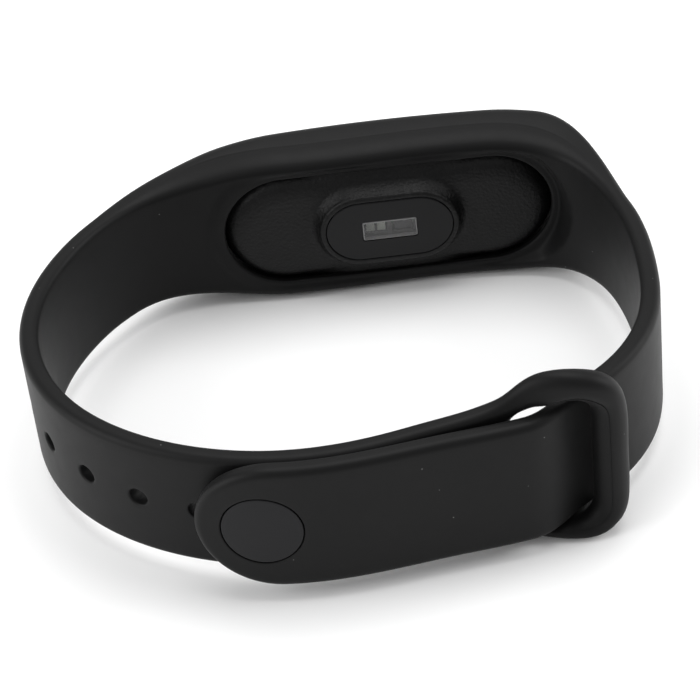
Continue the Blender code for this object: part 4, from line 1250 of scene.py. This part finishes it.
def silicone_finish(colour):
    """Soft matt rubber: a dim sheen, fine grain and a few specks of dust."""
    nodes = textured("silicone", colour, 0.5, 0.12 * MM, 0.004 * MM, specular=0.16)
    nodes.shader.inputs["Sheen Weight"].default_value = 0.02
    nodes.shader.inputs["Sheen Roughness"].default_value = 0.5
    clean = nodes.shader.inputs["Base Color"].links[0].from_socket
    dust = nodes.add("ShaderNodeTexVoronoi", distance="EUCLIDEAN")
    dust.inputs["Scale"].default_value = 1 / (3.2 * MM)
    nodes.link(nodes.coordinates, dust.inputs["Vector"])
    speck = nodes.spread(dust.outputs["Distance"], 0.012, 0.024, 1.0, 0.0)
    dusty = nodes.add("ShaderNodeMix", data_type="RGBA")
    dusty.inputs[7].default_value = (0.2, 0.2, 0.2, 1)
    nodes.link(speck, dusty.inputs[0])
    nodes.link(clean, dusty.inputs[6])
    nodes.link(dusty.outputs[2], nodes.shader.inputs["Base Color"])
    return nodes.material


def brushed_finish(name, colour, roughness, centre, axis):
    """Metal turned on a lathe: fine rings round an axis, as noise of the distance from it."""
    nodes = plain(name, colour, roughness, 0.8)
    away = nodes.add("ShaderNodeVectorMath", operation="SUBTRACT")
    away.inputs[1].default_value = tuple(centre)
    nodes.link(nodes.coordinates, away.inputs[0])
    cross = nodes.add("ShaderNodeVectorMath", operation="CROSS_PRODUCT")
    cross.inputs[1].default_value = tuple(axis)
    nodes.link(away.outputs[0], cross.inputs[0])
    length = nodes.add("ShaderNodeVectorMath", operation="LENGTH")
    nodes.link(cross.outputs[0], length.inputs[0])
    rings = nodes.add("ShaderNodeTexNoise", noise_dimensions="1D")
    rings.inputs["Scale"].default_value = 1 / (0.12 * MM)
    rings.inputs["Detail"].default_value = 2.0
    nodes.link(length.outputs["Value"], rings.inputs["W"])
    nodes.bump(rings.outputs["Fac"], 0.0015 * MM)
    rough = nodes.spread(rings.outputs["Fac"], 0.3, 0.7, roughness * 0.85, roughness * 1.15)
    nodes.link(rough, nodes.shader.inputs["Roughness"])
    return nodes.material


def pane_finish():
    """A clear pane with a painted highlight: a paler border round its rim, where its bevel catches
    the light, found by the distance from the sensor's middle.
    """
    nodes = plain("sensor pane", (0.16, 0.16, 0.16), 0.2)
    away = nodes.add("ShaderNodeVectorMath", operation="SUBTRACT")
    away.inputs[1].default_value = tuple(ORIGIN)
    nodes.link(nodes.coordinates, away.inputs[0])
    size = nodes.add("ShaderNodeVectorMath", operation="ABSOLUTE")
    nodes.link(away.outputs[0], size.inputs[0])
    split = nodes.add("ShaderNodeSeparateXYZ")
    nodes.link(size.outputs[0], split.inputs[0])
    length, width = SENSOR_WINDOW[0] / 2, SENSOR_WINDOW[1] / 2
    border = 0.22 * MM
    ends = nodes.spread(split.outputs[0], length - border, length - border * 0.8, 0.0, 1.0)
    sides = nodes.spread(split.outputs[2], width - border, width - border * 0.8, 0.0, 1.0)
    rim_highlight_share = nodes.add("ShaderNodeMath", operation="MAXIMUM")
    nodes.link(ends, rim_highlight_share.inputs[0])
    nodes.link(sides, rim_highlight_share.inputs[1])
    share = rim_highlight_share.outputs[0]
    # painted highlight: the pane's rim is paler and less clear, as where its bevel catches the
    # light
    colour = nodes.mixed(share, (0.13, 0.13, 0.13), (0.21, 0.21, 0.21))
    nodes.link(colour, nodes.shader.inputs["Base Color"])
    clear = nodes.spread(share, 0.0, 1.0, 0.35, 0.9)
    nodes.link(clear, nodes.shader.inputs["Alpha"])
    return nodes.material


def foil_finish():
    """Laminated foil, faintly dimpled."""
    nodes = textured("battery foil", (0.6, 0.61, 0.63), 0.32, 0.8 * MM, 0.02 * MM, 1.0)
    return nodes.material


def board_finish():
    """Solder mask with copper tracks showing faintly through it."""
    nodes = plain("circuit board", (0.01, 0.09, 0.045), 0.35)
    tracks = nodes.add("ShaderNodeTexBrick")
    tracks.inputs["Scale"].default_value = 1 / (4 * MM)
    tracks.inputs["Mortar Size"].default_value = 0.03
    tracks.inputs["Color1"].default_value = (0.008, 0.08, 0.04, 1)
    tracks.inputs["Color2"].default_value = (0.01, 0.1, 0.05, 1)
    tracks.inputs["Mortar"].default_value = (0.02, 0.17, 0.08, 1)
    turn = nodes.add("ShaderNodeVectorRotate", rotation_type="X_AXIS")
    turn.inputs["Angle"].default_value = math.pi / 2
    nodes.link(nodes.coordinates, turn.inputs["Vector"])
    nodes.link(turn.outputs[0], tracks.inputs["Vector"])
    nodes.link(tracks.outputs["Color"], nodes.shader.inputs["Base Color"])
    return nodes.material


def node_finishes():
    """A finish for each CAD node that is shown as it is."""
    gold = textured("gold", (0.75, 0.52, 0.2), 0.3, 0.1 * MM, 0.002 * MM, 1.0).material
    chip = textured("moulded chip", (0.02, 0.02, 0.021), 0.55, 0.08 * MM, 0.004 * MM).material
    grey = textured("light barrier", (0.17, 0.17, 0.17), 0.6, 0.1 * MM, 0.003 * MM).material
    black = textured("carrier", (0.02, 0.02, 0.02), 0.6, 0.1 * MM, 0.003 * MM).material
    steel = textured("steel", (0.55, 0.55, 0.56), 0.3, 0.15 * MM, 0.001 * MM, 1.0).material
    weight = textured("heavy alloy", (0.3, 0.3, 0.31), 0.5, 0.1 * MM, 0.004 * MM, 0.9).material
    seal = textured("seal", (0.03, 0.03, 0.032), 0.65, 0.1 * MM, 0.003 * MM).material
    panel = textured("display", (0.006, 0.006, 0.008), 0.12, 1 * MM, 0.0005 * MM).material
    amber = textured("flex", (0.4, 0.16, 0.02), 0.35, 0.5 * MM, 0.001 * MM).material
    board = board_finish()
    return {
        "antenna": gold,
        "battery_cell": foil_finish(),
        "bluetooth_chip": chip,
        "case_gasket": seal,
        "charge_contact_lower": gold,
        "charge_contact_upper": gold,
        "display_flex": amber,
        "display_module": panel,
        "inner_carrier": black,
        "light_barrier": grey,
        "main_board": board,
        "memory_chip": chip,
        "motion_sensor_chip": chip,
        "motor_base": steel,
        "motor_cup": steel,
        "motor_weight": weight,
        "power_chip": chip,
        "sensor_board": board,
        "touch_pad": gold,
    }


def dress_nodes():
    """Gives the nodes that are shown as they are their finishes."""
    for name, finish in node_finishes().items():
        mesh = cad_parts[name].data
        mesh.materials.clear()
        mesh.materials.append(finish)


# The studio


def build_floor(brightness):
    """A plain square of paper far wider than the band."""
    nodes = plain("paper floor", (brightness,) * 3, 0.9, specular=0.1)
    half = 1.2
    mesh = bpy.data.meshes.new("floor")
    points = [(-half, -half, 0), (half, -half, 0), (half, half, 0), (-half, half, 0)]
    mesh.from_pydata(points, [], [(0, 1, 2, 3)])
    mesh.materials.append(nodes.material)
    floor = bpy.data.objects.new("floor", mesh)
    bpy.context.scene.collection.objects.link(floor)


def build_lights(key_power, sky):
    """A wide soft box above and behind, one at each side, and an even white sky."""
    world = bpy.data.worlds.new("studio sky")
    world.use_nodes = True
    background = world.node_tree.nodes["Background"]
    background.inputs["Color"].default_value = (1, 1, 1, 1)
    background.inputs["Strength"].default_value = sky
    bpy.context.scene.world = world
    bpy.context.scene.view_settings.view_transform = "Standard"
    for name, place_at, size, power in (
        ("soft box", (0.03, 0.1, 0.5), 0.42, key_power),
        ("left box", (-0.45, -0.12, 0.22), 0.35, key_power * 0.75),
        ("right box", (0.48, 0.05, 0.22), 0.35, key_power * 0.75),
    ):
        light = bpy.data.lights.new(name, "AREA")
        light.energy = power
        light.size = size
        lamp = bpy.data.objects.new(name, light)
        lamp.location = place_at
        aim = mathutils.Vector(place_at) - mathutils.Vector((0, 0, 0.01))
        lamp.rotation_euler = aim.to_track_quat("Z", "Y").to_euler()
        bpy.context.scene.collection.objects.link(lamp)


def build_camera(azimuth, elevation, roll, distance, lens):
    """A camera on a sphere round the aim point, turned by a roll about its line of sight."""
    azimuth, elevation, roll = (math.radians(v) for v in (azimuth, elevation, roll))
    level = math.cos(elevation)
    back = np.array(
        [math.sin(azimuth) * level, -math.cos(azimuth) * level, math.sin(elevation)]
    )
    side = np.array([math.cos(azimuth), math.sin(azimuth), 0.0])
    above = np.cross(back, side)
    right = math.cos(roll) * side + math.sin(roll) * above
    top = math.cos(roll) * above - math.sin(roll) * side
    aim = ORIGIN - AIM_FROM_ORIGIN
    spot = aim + back * distance + right * CAMERA_SLIDE[0] + top * CAMERA_SLIDE[1]
    data = bpy.data.cameras.new("camera")
    data.lens = lens
    data.sensor_width = 36.0
    camera = bpy.data.objects.new("camera", data)
    turn = np.column_stack([right, top, back])
    camera.matrix_world = mathutils.Matrix.Translation(spot) @ mathutils.Matrix(turn).to_4x4()
    bpy.context.scene.collection.objects.link(camera)
    bpy.context.scene.camera = camera


# The add-on


def colour_property(name, description, default):
    """A colour that a user can change."""
    return bpy.props.FloatVectorProperty(
        name=name, description=description, default=default, min=0, max=1, subtype="COLOR"
    )


def length_property(name, description, default):
    """A length in metres that a user can change."""
    return bpy.props.FloatProperty(
        name=name, description=description, default=default, min=0, unit="LENGTH", precision=5
    )


class TrackerBandColours(bpy.types.PropertyGroup):
    strap: colour_property(
        "Strap", "Colour of the silicone strap and its tail", (0.0025, 0.0025, 0.0026)
    )
    case: colour_property(
        "Case", "Colour of the tracker's front and rear case", (0.0022, 0.0022, 0.0023)
    )
    window: colour_property(
        "Window", "Colour of the gloss window on the tracker's front", (0.003, 0.003, 0.004)
    )
    lens: colour_property(
        "Lens", "Colour of the gloss lens round the sensor's window", (0.004, 0.004, 0.0045)
    )
    touch_mark: colour_property(
        "Touch Mark", "Colour of the ring printed on the window", (0.35, 0.35, 0.36)
    )
    cap: colour_property("Stud Cap", "Colour of the stud's coated cap", (0.017, 0.017, 0.018))
    post: colour_property("Stud Post", "Colour of the stud's steel post", (0.5, 0.5, 0.51))
    diode: colour_property("Diodes", "Colour of the sensor's two diodes", (0.75, 0.8, 0.7))


class TrackerBandSizes(bpy.types.PropertyGroup):
    touch_mark: length_property(
        "Touch Mark Radius", "Outer radius of the ring printed on the window", TOUCH_MARK
    )
    touch_mark_width: length_property(
        "Touch Mark Width", "Width of that ring's line", TOUCH_MARK_WIDTH
    )
    cap_dome: length_property(
        "Cap Dome", "How far the middle of the stud's cap stands out", CAP_DOME
    )
    case_grain: length_property(
        "Case Grain", "Size of the grain moulded into the tracker's case", CASE_GRAIN
    )
    case_grain_depth: length_property(
        "Case Grain Depth", "Depth of that grain", CASE_GRAIN_DEPTH
    )


class TrackerBandStudio(bpy.types.PropertyGroup):
    floor_brightness: bpy.props.FloatProperty(
        name="Floor Brightness",
        description="How much light the floor returns",
        default=0.95,
        min=0.0,
        max=1.0,
        subtype="FACTOR",
    )
    key_power: bpy.props.FloatProperty(
        name="Soft Box Power",
        description="Power of the soft box above the band",
        default=1.7,
        min=0.0,
        unit="POWER",
    )
    sky: bpy.props.FloatProperty(
        name="Sky Strength",
        description="Strength of the even white light from all round",
        default=0.6,
        min=0.0,
    )
    camera_azimuth: bpy.props.FloatProperty(
        name="Camera Azimuth",
        description="Turn of the camera round the band, in degrees",
        default=0.088,
    )
    camera_elevation: bpy.props.FloatProperty(
        name="Camera Elevation",
        description="Height of the camera above the horizon, in degrees",
        default=38.37,
    )
    camera_roll: bpy.props.FloatProperty(
        name="Camera Roll",
        description="Turn of the camera about its line of sight, in degrees",
        default=-6.604,
    )
    camera_distance: bpy.props.FloatProperty(
        name="Camera Distance",
        description="Distance from the camera to the point it is aimed at",
        default=0.30346,
        min=0.01,
        unit="LENGTH",
    )
    camera_lens: bpy.props.FloatProperty(
        name="Camera Lens",
        description="Focal length, in millimetres",
        default=140.1,
        min=1.0,
    )


class TRACKERBAND_OT_strap(bpy.types.Operator):
    """Build the silicone strap and its tail"""

    bl_idname = "trackerband.strap"
    bl_label = "Strap"

    def execute(self, context):
        finish = silicone_finish(context.scene.tracker_band_colours.strap)
        build_strap(finish)
        build_tail(finish)
        return {"FINISHED"}


class TRACKERBAND_OT_stud(bpy.types.Operator):
    """Build the stud that fastens the tail"""

    bl_idname = "trackerband.stud"
    bl_label = "Stud"

    def execute(self, context):
        colours = context.scene.tracker_band_colours
        centre = (*(LOOP.at(STUD_AT) + ORIGIN[:2]), ORIGIN[2])
        axis = (*LOOP.facing(STUD_AT), 0.0)
        dark = brushed_finish("dark stud", colours.cap, 0.5, centre, axis)
        steel = brushed_finish("stud steel", colours.post, 0.3, centre, axis)
        build_stud(dark, steel, context.scene.tracker_band_sizes.cap_dome)
        return {"FINISHED"}


class TRACKERBAND_OT_tracker(bpy.types.Operator):
    """Build the tracker's case, window and sensor, and give its inner pieces their finishes"""

    bl_idname = "trackerband.tracker"
    bl_label = "Tracker"

    def execute(self, context):
        colours = context.scene.tracker_band_colours
        sizes = context.scene.tracker_band_sizes
        grain = (sizes.case_grain, sizes.case_grain_depth)
        case = textured("case plastic", colours.case, 0.44, *grain, specular=0.22)
        gloss = plain("gloss", colours.lens, 0.12, specular=0.18)
        window = plain("window gloss", colours.window, 0.06, specular=0.35)
        mark = plain("printed mark", colours.touch_mark, 0.4)
        build_rear_shell(case.material)
        build_front(case.material, window.material)
        build_touch_mark(mark.material, sizes.touch_mark, sizes.touch_mark_width)
        led = textured("diode lens", colours.diode, 0.25, 0.2 * MM, 0.001 * MM)
        die = plain("photodiode", (0.03, 0.03, 0.04), 0.15)
        build_sensor(gloss.material, pane_finish(), led.material, die.material)
        dress_nodes()
        return {"FINISHED"}


class TRACKERBAND_OT_studio(bpy.types.Operator):
    """Set up the floor, lights and camera"""

    bl_idname = "trackerband.studio"
    bl_label = "Studio"

    def execute(self, context):
        studio = context.scene.tracker_band_studio
        build_floor(studio.floor_brightness)
        build_lights(studio.key_power, studio.sky)
        build_camera(
            studio.camera_azimuth,
            studio.camera_elevation,
            studio.camera_roll,
            studio.camera_distance,
            studio.camera_lens,
        )
        return {"FINISHED"}


OPERATORS = (
    TRACKERBAND_OT_strap,
    TRACKERBAND_OT_stud,
    TRACKERBAND_OT_tracker,
    TRACKERBAND_OT_studio,
)


class TRACKERBAND_PT_panel(bpy.types.Panel):
    """Lists the band's colours and sizes, the studio's settings and what can be built"""

    bl_idname = "TRACKERBAND_PT_panel"
    bl_label = "Tracker Band"
    bl_space_type = "VIEW_3D"
    bl_region_type = "UI"
    bl_category = "Tracker Band"

    def draw(self, context):
        for name, kind in SETTINGS.items():
            box = self.layout.box()
            for field in kind.__annotations__:
                box.prop(getattr(context.scene, name), field)
        for operator in OPERATORS:
            self.layout.operator(operator.bl_idname)


SETTINGS = {
    "tracker_band_colours": TrackerBandColours,
    "tracker_band_sizes": TrackerBandSizes,
    "tracker_band_studio": TrackerBandStudio,
}
CLASSES = (*SETTINGS.values(), *OPERATORS, TRACKERBAND_PT_panel)


def register():
    for cls in CLASSES:
        bpy.utils.register_class(cls)
    for name, kind in SETTINGS.items():
        setattr(bpy.types.Scene, name, bpy.props.PointerProperty(type=kind))


def unregister():
    for name in SETTINGS:
        delattr(bpy.types.Scene, name)
    for cls in reversed(CLASSES):
        bpy.utils.unregister_class(cls)


def main():
    """Registers the add-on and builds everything."""
    register()
    for step in (
        bpy.ops.trackerband.strap,
        bpy.ops.trackerband.stud,
        bpy.ops.trackerband.tracker,
        bpy.ops.trackerband.studio,
    ):
        step()


if __name__ == "__main__":
    main()
